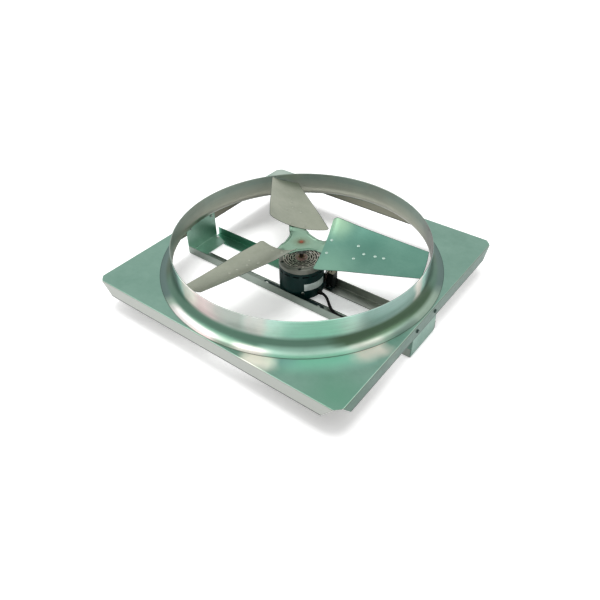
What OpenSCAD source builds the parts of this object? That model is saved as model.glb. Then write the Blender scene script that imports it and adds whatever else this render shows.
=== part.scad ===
// Whole house fan: a square flanged panel with a spun venturi ring, two rails hung
// below it on end brackets, a motor standing between the rails and a three-blade fan.
// The fan turns about Z. Z is 0 at the underside of the rails.

/* [Panel] */
// Side of the square panel
panel_side = 876; // [872:1:900]
// Thickness of the panel's sheet
panel_sheet = 1.2; // [0.8:0.1:2]
// Height of the panel's top face above the underside of the rails
panel_top = 112; // [100:1:130]
// Depth of the turned-down flanges
flange_depth = 43; // [36:1:50]
// Length cut off each corner, along each side
corner_cut = 20; // [14:1:30]
// Slope of the flanges' ends, in degrees from upright
flange_slope = 40; // [0:5:45]
// Outside radius of the bend between the top and a flange
panel_bend = 3; // [2:0.5:5]
// Radius of the round opening, under the ring's flare
opening_radius = 418.5; // [410:0.5:419]

/* [Venturi ring] */
// Inside radius of the ring's wall
ring_inner = 390.5; // [387:0.5:392]
// Height of the rim above the panel's top
ring_height = 90.6; // [70:0.2:110]
// Thickness of the ring's sheet
ring_sheet = 1.2; // [0.8:0.1:2]
// Radius of the flare at the foot, on its outer face
flare_radius = 40; // [30:1:41]
// Width of the flat lap that lies on the panel
ring_lap = 3; // [2:0.5:4]
// Radius of the bead rolled into the rim
rim_bead = 1.8; // [1.2:0.1:3]

/* [Rails] */
// Height of a rail's web
rail_height = 30; // [24:1:36]
// Width of a rail's bottom flange
rail_width = 42; // [38:1:44]
// Height of the stiffening lip on the flange's inner edge
rail_lip = 5; // [3.5:0.1:5.2]
// Thickness of the rails' sheet
rail_sheet = 1.5; // [1.2:0.1:1.8]
// Distance between the outer faces of the two webs
rail_spacing = 152; // [151:1:158]

/* [Brackets] */
// Width of a bracket's plate
bracket_width = 138; // [130:1:140]
// Offset of the brackets' middle towards +Y
bracket_shift = -5; // [-6:1:0]
// Thickness of a bracket's plate
bracket_sheet = 2; // [1.5:0.1:2.5]
// Length of the foot that lies on the rails, from the plate's outer face
bracket_foot = 60; // [50:1:66]
// Width of the foot's narrow end
foot_end_width = 100; // [80:2:110]
// Distance between a bracket's two flange screws
flange_screw_spacing = 104; // [90:1:112]
// Depth of the flange screws below the panel's top
flange_screw_drop = 22; // [16:1:28]
// Distance of a rail screw from the plate's outer face
rail_screw_inset = 18; // [14:1:20]
// Distance between a bracket's two rail screws
rail_screw_spacing = 112; // [108:1:114]

/* [Motor] */
// Outside radius of the motor's shell
motor_radius = 71; // [69:0.5:72]
// Thickness of the shell's sheet
shell_wall = 1.5; // [1:0.1:2]
// Height of the joint between the shell and the upper end bell
shell_top = 105; // [100:1:110]
// Height of the joint between the shell and the lower end bell
shell_bottom = 13; // [12:0.5:15]
// Height of the flat top of the upper end bell
bell_top = 121; // [118:0.5:124]
// Thickness of the end bells' walls
bell_wall = 2.5; // [2:0.1:3]
// Rings of vent slots in the upper end bell
vent_rings = 5; // [3:1:5]
// Slots in each ring
vent_count = 8; // [6:1:9]
// Width of a vent slot
vent_width = 3.8; // [2.5:0.1:4]
// Slots in the row round the shell
shell_vents = 15; // [10:1:16]
// Radius of the circle of the motor's through bolts
bolt_circle = 63.3; // [62.5:0.1:63.5]
// Half of the angle between two through bolts on one strap
bolt_angle = 31.4; // [28:0.1:34]
// Radius of the through bolts
bolt_radius = 2.4; // [2:0.1:2.6]
// Length of a mounting strap
strap_length = 236; // [224:2:250]
// Width of a mounting strap
strap_width = 28; // [24:1:28]
// Thickness of a mounting strap
strap_sheet = 4; // [3.8:0.1:5]
// Distance of the mounting screws from a strap's ends
strap_screw_inset = 15; // [12:1:18]
// Reach of the back strap under the capacitor
back_strap_reach = 86; // [84:1:92]
// Thickness of the stator's stack
stack_height = 45; // [35:1:50]
// Radius of the rotor core
core_radius = 35; // [33:0.5:36]
// Air gap between the rotor and the stator
air_gap = 0.5; // [0.4:0.1:1]
// Slots in the stator
stator_slots = 24; // [12:6:24]

/* [Shaft and hub] */
// Radius of the shaft
shaft_radius = 6.35; // [5.5:0.05:7]
// Radial clearance of the shaft in its bushings
shaft_clearance = 0.04; // [0.01:0.01:0.1]
// Height of the top face of the hub plate
hub_top = 178; // [174:1:184]
// Thickness of the spider's sheet
spider_sheet = 2; // [1.6:0.1:2.4]
// Radius of the hub plate between two arms
hub_plate_radius = 46; // [42:1:50]
// Radius of the collar under the hub plate
collar_radius = 15; // [13:0.5:17]
// Length of the collar
collar_length = 33; // [26:1:36]

/* [Fan] */
// Diameter of the fan over its blade tips
fan_diameter = 762; // [740:1:768]
// Direction of the first blade, in degrees
fan_azimuth = 15; // [0:1:119]
// Pitch of the blades, in degrees
blade_pitch = 18.3; // [15:0.1:22]
// Extra pitch at the blades' roots, in degrees
root_twist = 3; // [0:0.5:6]
// Height of a blade's upper face on the fan's axis, above the hub plate
blade_rise = 4; // [3.9:0.1:5]
// Radius of the curve rolled into a blade
blade_camber = 270; // [220:5:340]
// Thickness of a blade
blade_sheet = 1.2; // [0.9:0.1:1.6]
// Distance of a blade's root edge from the axis
blade_root = 74.5; // [74:0.5:80]
// Width of a blade at its root
root_width = 201; // [170:1:204]
// Width of a blade at its tip
tip_width = 94; // [80:1:104]
// Offset of the tip's middle towards the blade's raised edge
tip_shift = 4.5; // [0:0.5:8]
// Width of a spider arm at the hub
arm_width = 56; // [48:2:60]
// Reach of a spider arm from the axis
arm_reach = 274; // [270:1:290]

/* [Cord] */
// Diameter of the motor cord
cord_diameter = 9; // [8:0.5:9.5]

/* [Hidden] */
$fn = 96;

seat = 0.05;                                 // play between two sheets riveted together
hole_play = 0.3;                             // radial play of a screw in its hole
half = panel_side / 2;
under_panel = panel_top - panel_sheet;
foot_z = rail_sheet;                         // the bracket feet lie on the rails' flanges
plate_x = half - panel_sheet;                // outer face of a bracket's plate
rail_end = plate_x - bracket_sheet - 1;
web_y = rail_spacing / 2;
flange_edge_y = web_y - rail_width;
screw_radius = 2.4;
hex_flats = 9;
hex_height = 3.6;
washer_radius = 6;
washer_height = 1;
lip_notch = plate_x - bracket_foot - 4;      // the lip stops here, clear of the foot
function flange_screw_y(side) = bracket_shift + side * flange_screw_spacing / 2;
function rail_screw_y(side) = bracket_shift + side * rail_screw_spacing / 2;

strap_z = rail_sheet;
strap_top = strap_z + strap_sheet;
strap_y = bolt_circle * cos(bolt_angle);     // the straps run under the through bolts
bolt_x = bolt_circle * sin(bolt_angle);
stack_mid = (shell_top + shell_bottom) / 2 + 4;
stack_low = stack_mid - stack_height / 2;
stack_high = stack_mid + stack_height / 2;
bushing_radius = shaft_radius + 3;
bushing_length = 20;
boss_radius = bushing_radius + 4;
boss_top = bell_top + 3;
shaft_low = shell_bottom + 3;
slot_depth = 17;
slot_width = 4.6;
bore_radius = core_radius + air_gap;

blade_z = hub_top + blade_rise;
twist_end = 160;                             // the extra pitch has faded out at this radius
facet = 12;                                  // width of one strip of a rolled blade
rivet_row_start = 84;
rivet_row_end = 96;
rivet_offset = 2 * facet;                    // outer rivets sit in the middle of a strip
root_rivet = (rivet_row_start + rivet_row_end) / 2;
rivet_rows = [[root_rivet, -rivet_offset], [root_rivet, rivet_offset],
    [174, -rivet_offset], [174, rivet_offset], [198, 0], [232, 0], [258, 0]];
rivet_radius = 2.4;
rivet_head = 4.6;

// ---------------------------------------------------------------- helpers

// A quarter ring in 2D, concave side towards +X +Y, its outer arc touching both axes.
module bend(outer, sheet) {
    translate([outer, outer]) intersection() {
        difference() {
            circle(outer);
            circle(outer - sheet);
        }
        translate([-outer, -outer]) square(outer);
    }
}

// Hexagonal head with a washer face, standing on z = 0, its shank going down.
module hex_screw(shank, flats = hex_flats, head = hex_height, r = screw_radius) {
    cylinder(r = washer_radius, h = washer_height);
    cylinder(d = flats / cos(30), h = head, $fn = 6);
    translate([0, 0, -shank]) cylinder(r = r, h = shank + washer_height / 2, $fn = 32);
}

// Points of a polygon with its corners rounded; radii holds one radius for each corner.
function rounded(pts, radii, steps = 6) = [
    for (i = [0:len(pts) - 1])
        let (n = len(pts), p = pts[i], a = pts[(i + n - 1) % n], b = pts[(i + 1) % n],
             u = (a - p) / norm(a - p), v = (b - p) / norm(b - p),
             turn = acos(u * v), cut = radii[i] / tan(turn / 2),
             c = p + (u + v) / norm(u + v) * radii[i] / sin(turn / 2),
             s = p + u * cut - c, e = p + v * cut - c)
        for (k = [0:steps]) c + (s * sin((1 - k / steps) * (180 - turn))
            + e * sin(k / steps * (180 - turn))) / sin(180 - turn)];

// Tube of round section swept along points; each ring stands square to its neighbours.
// The path never runs along the axis named in aside.
function cross_unit(a, b) = let (c = cross(a, b)) c / norm(c);
function tube_points(path, r, sides, aside) = [
    for (i = [0:len(path) - 1])
        let (last = len(path) - 1,
             t = path[min(i + 1, last)] - path[max(i - 1, 0)],
             side = cross_unit(t, aside), up = cross_unit(side, t))
        for (k = [0:sides - 1])
            path[i] + r * (side * cos(360 * k / sides) + up * sin(360 * k / sides))];
module tube(path, r, sides, aside = [0, 0, 1]) {
    last = len(path) - 1;
    polyhedron(
        points = tube_points(path, r, sides, aside),
        faces = concat(
            [[for (k = [0:sides - 1]) k]],
            [for (i = [0:last - 1]) for (k = [0:sides - 1])
                let (m = (k + 1) % sides, a = i * sides, b = a + sides) [a + k, b + k, b + m]],
            [for (i = [0:last - 1]) for (k = [0:sides - 1])
                let (m = (k + 1) % sides, a = i * sides, b = a + sides) [a + k, b + m, a + m]],
            [[for (k = [sides - 1:-1:0]) last * sides + k]]));
}

// A smooth path through hand-chosen points, with steps points to each stretch.
function spline_at(a, b, c, d, t) =
    ((2 * b) + (c - a) * t + (2 * a - 5 * b + 4 * c - d) * t * t
    + (3 * b - a - 3 * c + d) * t * t * t) / 2;
function smooth_path(p, steps) = let (n = len(p) - 1) concat(
    [for (i = [0:n - 1]) for (k = [0:steps - 1])
        spline_at(i == 0 ? 2 * p[0] - p[1] : p[i - 1], p[i], p[i + 1],
            i == n - 1 ? 2 * p[n] - p[n - 1] : p[i + 2], k / steps)], [p[n]]);

// ---------------------------------------------------------------- panel and ring

module panel_side_strip() {
    reach = half - panel_bend;
    strip = panel_side - 2 * corner_cut;
    difference() {
        translate([0, strip / 2, panel_top]) rotate([90, 0, 0]) linear_extrude(strip) {
            translate([half, 0]) mirror([1, 0]) mirror([0, 1]) bend(panel_bend, panel_sheet);
            translate([plate_x, -flange_depth]) square([panel_sheet, flange_depth - panel_bend]);
        }
        // the flange's ends slope inwards from the top
        for (s = [-1, 1])
            translate([half, s * strip / 2, panel_top - panel_bend]) rotate([-s * flange_slope, 0, 0])
                translate([-5, s > 0 ? 0 : -flange_depth, -2 * flange_depth])
                    cube([10, flange_depth, 2 * flange_depth]);
    }
}

module panel() {
    color("#8fb5a4") difference() {
        union() {
            translate([0, 0, under_panel]) linear_extrude(panel_sheet) difference() {
                intersection() {
                    square(panel_side - 2 * panel_bend, center = true);
                    rotate(45) square((panel_side - corner_cut) * sqrt(2), center = true);
                }
                circle(opening_radius, $fn = 240);
            }
            for (a = [0:90:270]) rotate(a) panel_side_strip();
        }
        for (s = [-1, 1]) for (y = [-1, 1])
            translate([s * half, flange_screw_y(y), panel_top - flange_screw_drop])
                rotate([0, 90, 0]) cylinder(r = screw_radius + hole_play, h = 10, center = true);
    }
}

module venturi_ring() {
    outer = ring_inner + ring_sheet;
    rim = panel_top + ring_height;
    color("#a9c4b4") rotate_extrude($fn = 240) {
        translate([ring_inner, panel_top + flare_radius + ring_sheet])
            square([ring_sheet, ring_height - flare_radius - ring_sheet - rim_bead]);
        translate([ring_inner, panel_top])
            bend(flare_radius + ring_sheet, ring_sheet);
        translate([outer + flare_radius, panel_top]) square([ring_lap, ring_sheet]);
        translate([outer, rim - rim_bead]) circle(rim_bead, $fn = 24);
    }
}

// ---------------------------------------------------------------- rails and brackets

module rail_profile() {
    outer = rail_sheet + 1;
    translate([flange_edge_y + outer, 0]) square([rail_width - 2 * outer, rail_sheet]);
    translate([web_y, 0]) mirror([1, 0]) bend(outer, rail_sheet);
    translate([web_y - rail_sheet, outer]) square([rail_sheet, rail_height - outer]);
    translate([flange_edge_y, 0]) bend(outer, rail_sheet);
    translate([flange_edge_y, outer]) square([rail_sheet, rail_lip - outer]);
}

// The rail of the +Y side; the other is its mirror image. The strap's reach towards +X
// sets the place of its screw on that side, and screw_y that of the brackets' screws.
module rail_blank(reach, screw_y) {
    notch = rail_sheet + 1 + hole_play;
    difference() {
        translate([rail_end, 0, 0]) rotate([90, 0, -90])
            linear_extrude(2 * rail_end) mirror([1, 0]) rail_profile();
        for (s = [-1, 1]) {
            // the lip is cut away where the bracket's foot lies on the flange
            translate([s > 0 ? lip_notch : -rail_end - 1, flange_edge_y - 1, -1])
                cube([rail_end + 1 - lip_notch, notch + 1, rail_lip + 2]);
            translate([s * (plate_x - rail_screw_inset), screw_y, -1])
                cylinder(r = screw_radius + hole_play, h = 5, $fn = 32);
        }
        for (x = strap_screws_at(reach)) translate([x, strap_y, -1])
            cylinder(r = screw_radius + hole_play, h = 5, $fn = 32);
    }
}

module rail_back() {
    color("#6f9483") difference() {
        rail_blank(back_strap_reach, rail_screw_y(1));
        translate([cap_screw_x, web_y, cap_screw_z]) rotate([90, 0, 0])
            cylinder(r = screw_radius + seat, h = 10, center = true, $fn = 32);
    }
}

module rail_front() {
    color("#6f9483") mirror([0, 1, 0]) rail_blank(strap_length / 2, -rail_screw_y(-1));
}

// The bracket of the +X side: a plate behind the flange and a tapered foot.
module bracket_blank() {
    outer = bracket_sheet + 2;
    top = under_panel - panel_bend;
    foot_start = plate_x - bracket_foot;
    wide_end = plate_x - 10;
    foot_width = bracket_width - 4;          // clear of the rails' webs
    difference() {
        translate([0, bracket_shift, foot_z]) {
            translate([0, foot_width / 2, 0]) rotate([90, 0, 0]) linear_extrude(foot_width) {
                translate([plate_x, 0]) mirror([1, 0]) bend(outer, bracket_sheet);
                translate([foot_start, 0]) square([bracket_foot - outer, bracket_sheet]);
            }
            translate([plate_x - bracket_sheet, -bracket_width / 2, outer])
                cube([bracket_sheet, bracket_width, top - foot_z - outer]);
        }
        for (s = [-1, 1]) {
            translate([0, bracket_shift, foot_z - 1]) linear_extrude(bracket_sheet + 2)
                polygon([[wide_end, s * foot_width / 2], [foot_start, s * foot_end_width / 2],
                    [foot_start - 1, s * foot_end_width / 2],
                    [foot_start - 1, s * (foot_width / 2 + 1)],
                    [wide_end, s * (foot_width / 2 + 1)]]);
            translate([plate_x - rail_screw_inset, rail_screw_y(s), 0])
                cylinder(r = screw_radius + hole_play, h = 8, $fn = 32);
            translate([half, flange_screw_y(s), panel_top - flange_screw_drop])
                rotate([0, 90, 0]) cylinder(r = screw_radius + hole_play, h = 12, center = true);
        }
    }
}

module bracket_right() { color("#7fa393") bracket_blank(); }
module bracket_left() { color("#7fa393") mirror([1, 0, 0]) bracket_blank(); }

module at_flange_screws() {
    for (m = [0, 1]) mirror([m, 0, 0]) for (s = [-1, 1])
        translate([half, flange_screw_y(s), panel_top - flange_screw_drop])
            rotate([0, 90, 0]) children();
}

module flange_screws() {
    grip = panel_sheet + bracket_sheet + hex_height + 1;
    color("#4a5a52") at_flange_screws() hex_screw(grip);
}

module flange_nuts() {
    color("#5d6a63") at_flange_screws()
        translate([0, 0, -panel_sheet - bracket_sheet - hex_height]) difference() {
            cylinder(d = hex_flats / cos(30), h = hex_height, $fn = 6);
            translate([0, 0, -1])
                cylinder(r = screw_radius + seat, h = hex_height + 2, $fn = 32);
        }
}

module rail_screws() {
    color("#d5dcd8") for (sx = [-1, 1]) for (sy = [-1, 1])
        translate([sx * (plate_x - rail_screw_inset), rail_screw_y(sy),
            foot_z + bracket_sheet])
            hex_screw(bracket_sheet + rail_sheet);
}

// ---------------------------------------------------------------- motor mounting

function strap_screws_at(reach) =
    [strap_screw_inset - strap_length / 2, reach - strap_screw_inset];

// The strap of the +Y side, from its end at -X to its reach towards +X.
module strap(reach) {
    ear = 6;
    low = strap_y - strap_width / 2;
    high = strap_y + strap_width / 2;
    difference() {
        translate([0, 0, strap_z]) linear_extrude(strap_sheet)
            polygon(rounded([[-strap_length / 2, low], [reach, low], [reach, high],
                [-strap_length / 2, high]], [ear, ear, ear, ear]));
        for (x = strap_screws_at(reach)) translate([x, strap_y, 0])
            cylinder(r = screw_radius + hole_play, h = 10, $fn = 32);
        for (s = [-1, 1]) translate([s * bolt_x, strap_y, 0])
            cylinder(r = bolt_radius + seat, h = 10, $fn = 32);
    }
}

module mounting_strap_back() { color("#1e2a2a") strap(back_strap_reach); }
module mounting_strap_front() { color("#1e2a2a") mirror([0, 1, 0]) strap(strap_length / 2); }

module strap_screws() {
    color("#d5dcd8") for (side = [[1, back_strap_reach], [-1, strap_length / 2]])
        for (x = strap_screws_at(side[1])) translate([x, side[0] * strap_y, strap_top])
            hex_screw(strap_sheet + rail_sheet);
}

// ---------------------------------------------------------------- motor

module at_through_bolts() {
    for (sx = [-1, 1]) for (sy = [-1, 1])
        translate([sx * bolt_x, sy * strap_y, 0]) children();
}

cord_azimuth = -5;                           // the cord leaves the shell here
cord_exit_z = 21;
grommet_hole = cord_diameter / 2 + 2;
lead_azimuth = 30;                           // the capacitor's leads enter the shell here
lead_exit_z = 33;
lead_radius = 1.4;
lead_hole = 3 * lead_radius + 1;
ground_azimuth = -51;                        // a screw for the earth wire sits here
ground_z = 34;
ground_radius = 2;

module motor_shell() {
    vent_z = shell_top - 12;
    color("#16302f") difference() {
        translate([0, 0, shell_bottom])
            cylinder(r = motor_radius, h = shell_top - shell_bottom, $fn = 144);
        translate([0, 0, shell_bottom - 1])
            cylinder(r = motor_radius - shell_wall, h = shell_top - shell_bottom + 2, $fn = 144);
        for (i = [0:shell_vents - 1])
            rotate(360 * (i + 0.2) / shell_vents)
                translate([motor_radius - 5, -9.5, vent_z - 2.5]) cube([10, 19, 5]);
        rotate(cord_azimuth) translate([motor_radius - 10, 0, cord_exit_z])
            rotate([0, 90, 0]) cylinder(r = grommet_hole, h = 20, $fn = 48);
        rotate(lead_azimuth) translate([motor_radius - 10, 0, lead_exit_z])
            rotate([0, 90, 0]) cylinder(r = lead_hole, h = 20, $fn = 48);
        rotate(ground_azimuth) translate([motor_radius - 10, 0, ground_z])
            rotate([0, 90, 0]) cylinder(r = ground_radius + seat, h = 20, $fn = 32);
    }
}

// Pan head on a washer that is dished to the round shell.
module ground_screw() {
    washer = 5;
    color("#c9cfc9") rotate(ground_azimuth) translate([motor_radius, 0, ground_z])
        rotate([0, 90, 0]) {
            translate([0, 0, -5]) cylinder(r = ground_radius, h = 6, $fn = 32);
            difference() {
                cylinder(r = washer, h = 1.2, $fn = 48);
                translate([0, 0, -motor_radius]) rotate([0, 90, 0])
                    cylinder(r = motor_radius + seat, h = 30, center = true, $fn = 144);
            }
            translate([0, 0, 1.2]) cylinder(r = 3.8, h = 2.2, $fn = 48);
        }
}

// One ring of arc-shaped slots, cut downwards through the bell's top.
module vent_ring(r, turn) {
    rib = 5 / r * 180 / PI;
    slot = 360 / vent_count - rib;
    for (i = [0:vent_count - 1])
        rotate(i * 360 / vent_count + turn) rotate_extrude(angle = slot)
            translate([r - vent_width / 2, bell_top - 8]) square([vent_width, 16]);
}

module upper_end_bell() {
    shoulder = 6;
    inner = motor_radius - bell_wall;
    floor_z = bell_top - bell_wall;
    color("#8b8d88") difference() {
        union() {
            rotate_extrude($fn = 144) {
                // side wall, rounded shoulder, flat top and rim flange
                translate([inner, shell_top]) square([bell_wall, bell_top - shell_top - shoulder]);
                translate([motor_radius, bell_top]) mirror([1, 0]) mirror([0, 1])
                    bend(shoulder, bell_wall);
                translate([0, floor_z]) square([motor_radius - shoulder, bell_wall]);
                translate([inner - 1.5, shell_top]) square([3, 4]);
            }
            // boss for the bushing
            translate([0, 0, boss_top - bushing_length])
                cylinder(r = boss_radius, h = bushing_length);
            // bosses for the through bolts
            intersection() {
                at_through_bolts() translate([0, 0, shell_top])
                    cylinder(r = 6.5, h = bell_top - shell_top - 1);
                translate([0, 0, shell_top]) cylinder(r = inner + 0.5, h = 40);
            }
        }
        for (k = [0:vent_rings - 1])
            vent_ring(24 + 7.2 * k, k % 2 * 180 / vent_count);
        translate([0, 0, boss_top - bushing_length - 1])
            cylinder(r = bushing_radius, h = bushing_length + 2);
        at_through_bolts() {
            translate([0, 0, shell_top - 1])
                cylinder(r = bolt_radius + hole_play, h = 40, $fn = 32);
            translate([0, 0, bell_top - 7]) cylinder(r = 5.4, h = 20, $fn = 32);
        }
    }
}

module lower_end_bell() {
    inner = motor_radius - bell_wall;
    base = strap_top + 1;
    color("#16302f") difference() {
        union() {
            rotate_extrude($fn = 144) {
                translate([0, base]) square([motor_radius - 4, bell_wall]);
                translate([motor_radius - 4 - bell_wall, base])
                    square([bell_wall, shell_bottom - base]);
                translate([motor_radius - 5, shell_bottom - 3]) square([5, 3]);
            }
            translate([0, 0, base]) cylinder(r = boss_radius, h = bushing_length);
            at_through_bolts() translate([0, 0, strap_top])
                cylinder(r = 6.2, h = shell_bottom - strap_top);
        }
        translate([0, 0, base + 2]) cylinder(r = bushing_radius, h = 40);
        for (i = [0:7]) rotate(i * 45 + 11) translate([28, -4, base - 1]) cube([20, 8, 8]);
        at_through_bolts() cylinder(r = bolt_radius + hole_play, h = 40, $fn = 32);
    }
}

module through_bolts() {
    head_z = bell_top - 7;
    color("#3a4442") at_through_bolts() translate([0, 0, head_z]) {
        cylinder(d = 8 / cos(30), h = 3.5, $fn = 6);
        translate([0, 0, strap_z - head_z]) cylinder(r = bolt_radius, h = head_z - strap_z + 1, $fn = 32);
    }
}

module stator_slot(width) {
    translate([bore_radius + 2.5, -width / 2]) square([slot_depth, width]);
}

module stator_core() {
    color("#555b60") translate([0, 0, stack_low]) difference() {
        linear_extrude(stack_height) difference() {
            circle(motor_radius - shell_wall, $fn = 144);
            circle(bore_radius, $fn = 96);
            for (i = [0:stator_slots - 1]) rotate(i * 360 / stator_slots) {
                stator_slot(slot_width);
                translate([bore_radius - 1, -1]) square([4, 2]);
            }
        }
        at_through_bolts() translate([0, 0, -1])
            cylinder(r = bolt_radius + 1, h = stack_height + 2, $fn = 32);
    }
}

module stator_windings() {
    end_turn = 11;
    inner = bore_radius + 3;
    color("#b8672f") {
        for (z = [stack_low - end_turn - seat, stack_high + seat])
            translate([0, 0, z]) rotate_extrude($fn = 96) translate([inner, 0])
                polygon(rounded([[0, 0], [slot_depth, 0], [slot_depth, end_turn],
                    [0, end_turn]], [4, 4, 4, 4], 3));
        for (i = [0:stator_slots - 1]) rotate(i * 360 / stator_slots)
            translate([inner + 0.5, -slot_width / 2 + 0.3, stack_low - 2])
                cube([slot_depth - 2, slot_width - 0.6, stack_height + 4]);
    }
}

module bushing() {
    difference() {
        cylinder(r = bushing_radius, h = bushing_length);
        translate([0, 0, -1]) cylinder(r = shaft_radius + shaft_clearance, h = bushing_length + 2);
    }
}

module upper_bushing() {
    color("#b08d57") translate([0, 0, boss_top - bushing_length]) bushing();
}
module lower_bushing() {
    color("#b08d57") translate([0, 0, strap_top + 3]) bushing();
}

// Blank plate, bent round the shell.
module nameplate() {
    plate = 0.6;
    plate_span = 62;
    color("#c9d2cf") rotate(-47) rotate_extrude(angle = plate_span, $fn = 144)
        translate([motor_radius + 2 * seat, 42]) square([plate, 25]);
}

// ---------------------------------------------------------------- cord

module cord_grommet() {
    collar = 3;
    nose = 14;
    color("#151515") rotate(cord_azimuth)
        translate([motor_radius - shell_wall - collar, 0, cord_exit_z]) rotate([0, 90, 0])
            difference() {
                union() {
                    cylinder(r = grommet_hole - seat, h = collar + shell_wall + 2, $fn = 48);
                    cylinder(r = grommet_hole + 1.5, h = collar - 0.3, $fn = 48);
                    translate([0, 0, collar + shell_wall + 0.3])
                        cylinder(r1 = grommet_hole + 1.5, r2 = cord_diameter / 2 + 1, h = nose, $fn = 48);
                }
                translate([0, 0, -1])
                    cylinder(r = cord_diameter / 2 + seat, h = nose + 20, $fn = 48);
            }
}

// Route of the cord: out of the shell, down over the rail's lip and along the channel.
cord_out = [cos(cord_azimuth), sin(cord_azimuth), 0];
cord_start = cord_out * (motor_radius - 6) + [0, 0, cord_exit_z];
cord_route = [cord_start, cord_start + cord_out * 11, cord_start + cord_out * 22,
    cord_start + cord_out * 28, [105, -12.5, 18.6], [118, -22, 15], [131, -33, 11.8],
    [144, -42, 9.2], [158, -48, 7.2], [173, -50.5, 6.2], [192, -49, 6.2], [216, -46, 6.2],
    [242, -47, 6.2], [268, -51, 6.2], [294, -54, 6.2], [320, -55, 6.2]];

module motor_cord() {
    color("#101010") tube(smooth_path(cord_route, 2), cord_diameter / 2, 10);
}

// The three conductors, stripped at their ends.
module cord_conductors() {
    start = cord_route[len(cord_route) - 1];
    core = 1.25;
    for (k = [0:2]) {
        side = k - 1;
        lift = k == 1 ? 1.6 : -0.9;
        color(["#1c1c1c", "#2f7d4f", "#e8e8e4"][k])
            tube(smooth_path([start + [0.1, side * 2, lift], start + [9, side * 2.2, lift],
                start + [20, side * 5, lift - 0.6], start + [36, side * 7, -1.2]], 3), core, 8);
    }
}

// ---------------------------------------------------------------- run capacitor

cap_size = [28, 24, 48];                     // a box with its back against the rail's web
cap_wall = 1.5;
cap_left = back_strap_reach - cap_size[0];
cap_back = web_y - rail_sheet;
cap_front = cap_back - cap_size[1];
cap_z = strap_top + hex_height + 1;          // clear of the strap's screw below it
cap_top = cap_z + cap_size[2];
cap_ear = [12, 3, 14];
cap_screw_x = cap_left - cap_ear[0] / 2;
cap_screw_z = cap_z + cap_ear[2] / 2;
lead_spread = 8;                             // distance between the two leads at the box
lead_x = cap_left + cap_size[0] / 3;
lead_y = cap_back - cap_size[1] / 2;
seal_depth = 3;
pocket_depth = seal_depth + 1;               // the seal lies a little below the box's rim

module run_capacitor() {
    corner = 2;
    color("#141616") difference() {
        union() {
            translate([0, 0, cap_z]) linear_extrude(cap_size[2])
                polygon(rounded([[cap_left, cap_front], [back_strap_reach, cap_front],
                    [back_strap_reach, cap_back], [cap_left, cap_back]],
                    [corner, corner, 0.4, 0.4]));
            translate([cap_left - cap_ear[0], cap_back - cap_ear[1], cap_z])
                cube([cap_ear[0] + 1, cap_ear[1], cap_ear[2]]);
        }
        translate([cap_left + cap_wall, cap_front + cap_wall, cap_top - pocket_depth])
            cube([cap_size[0] - 2 * cap_wall, cap_size[1] - 2 * cap_wall, 10]);
        translate([cap_screw_x, cap_back, cap_screw_z]) rotate([90, 0, 0])
            cylinder(r = screw_radius + hole_play, h = 10, center = true, $fn = 32);
    }
}

module capacitor_seal() {
    color("#b59a6a") difference() {
        translate([cap_left + cap_wall, cap_front + cap_wall, cap_top - pocket_depth])
            cube([cap_size[0] - 2 * cap_wall, cap_size[1] - 2 * cap_wall, seal_depth]);
        for (s = [-1, 1])
            translate([lead_x + s * lead_spread / 2, lead_y, cap_top - pocket_depth + 1])
                cylinder(r = lead_radius + seat, h = 10, $fn = 24);
    }
}

module capacitor_screw() {
    color("#d5dcd8") translate([cap_screw_x, cap_back - cap_ear[1], cap_screw_z])
        rotate([90, 0, 0]) hex_screw(cap_ear[1] + rail_sheet + 2);
}

module lead_grommet() {
    collar = 1.4;
    color("#151515") rotate(lead_azimuth) translate([motor_radius, 0, lead_exit_z])
        rotate([0, 90, 0]) difference() {
            union() {
                translate([0, 0, -shell_wall - collar])
                    cylinder(r = lead_hole - seat, h = shell_wall + 2 * collar, $fn = 48);
                translate([0, 0, 0.3]) cylinder(r = lead_hole + 1.2, h = collar, $fn = 48);
            }
            translate([0, 0, -10]) cylinder(r = lead_hole - 1.2, h = 30, $fn = 48);
        }
}

// The two leads from the box's seal over its front edge and down into the shell.
module capacitor_leads() {
    inward = -[cos(lead_azimuth), sin(lead_azimuth), 0];
    across = [-inward[1], inward[0], 0];
    hole = -inward * motor_radius + [0, 0, lead_exit_z];
    color("#2a1d18") for (s = [-1, 1]) {
        start = [lead_x + s * lead_spread / 2, lead_y, cap_top - pocket_depth + 1.1];
        gap = -s * 1.6 * across;
        tube(smooth_path([start, start + [0, 0, 7], start + [0, -4 - s, 12],
            start + [-1, -12, 12], start + [-3, -18, 5], hole - 6.5 * inward + gap + [0, 0, 14],
            hole - 4.5 * inward + gap + [0, 0, 5], hole + gap, hole + 4 * inward + gap], 2),
            lead_radius, 8, [1, 0, 0]);
    }
}

// ---------------------------------------------------------------- rotor

module motor_shaft() {
    tip = 1;
    flat_length = collar_length + 12;
    color("#7a4a3a") difference() {
        translate([0, 0, shaft_low]) {
            cylinder(r = shaft_radius, h = hub_top + 1 - shaft_low - tip);
            translate([0, 0, hub_top + 1 - shaft_low - tip])
                cylinder(r1 = shaft_radius, r2 = shaft_radius - tip, h = tip);
        }
        // flat for the set screw
        rotate(fan_azimuth + 60)
            translate([shaft_radius - 0.8, -10, hub_top - spider_sheet - flat_length])
                cube([10, 20, flat_length]);
    }
}

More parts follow.
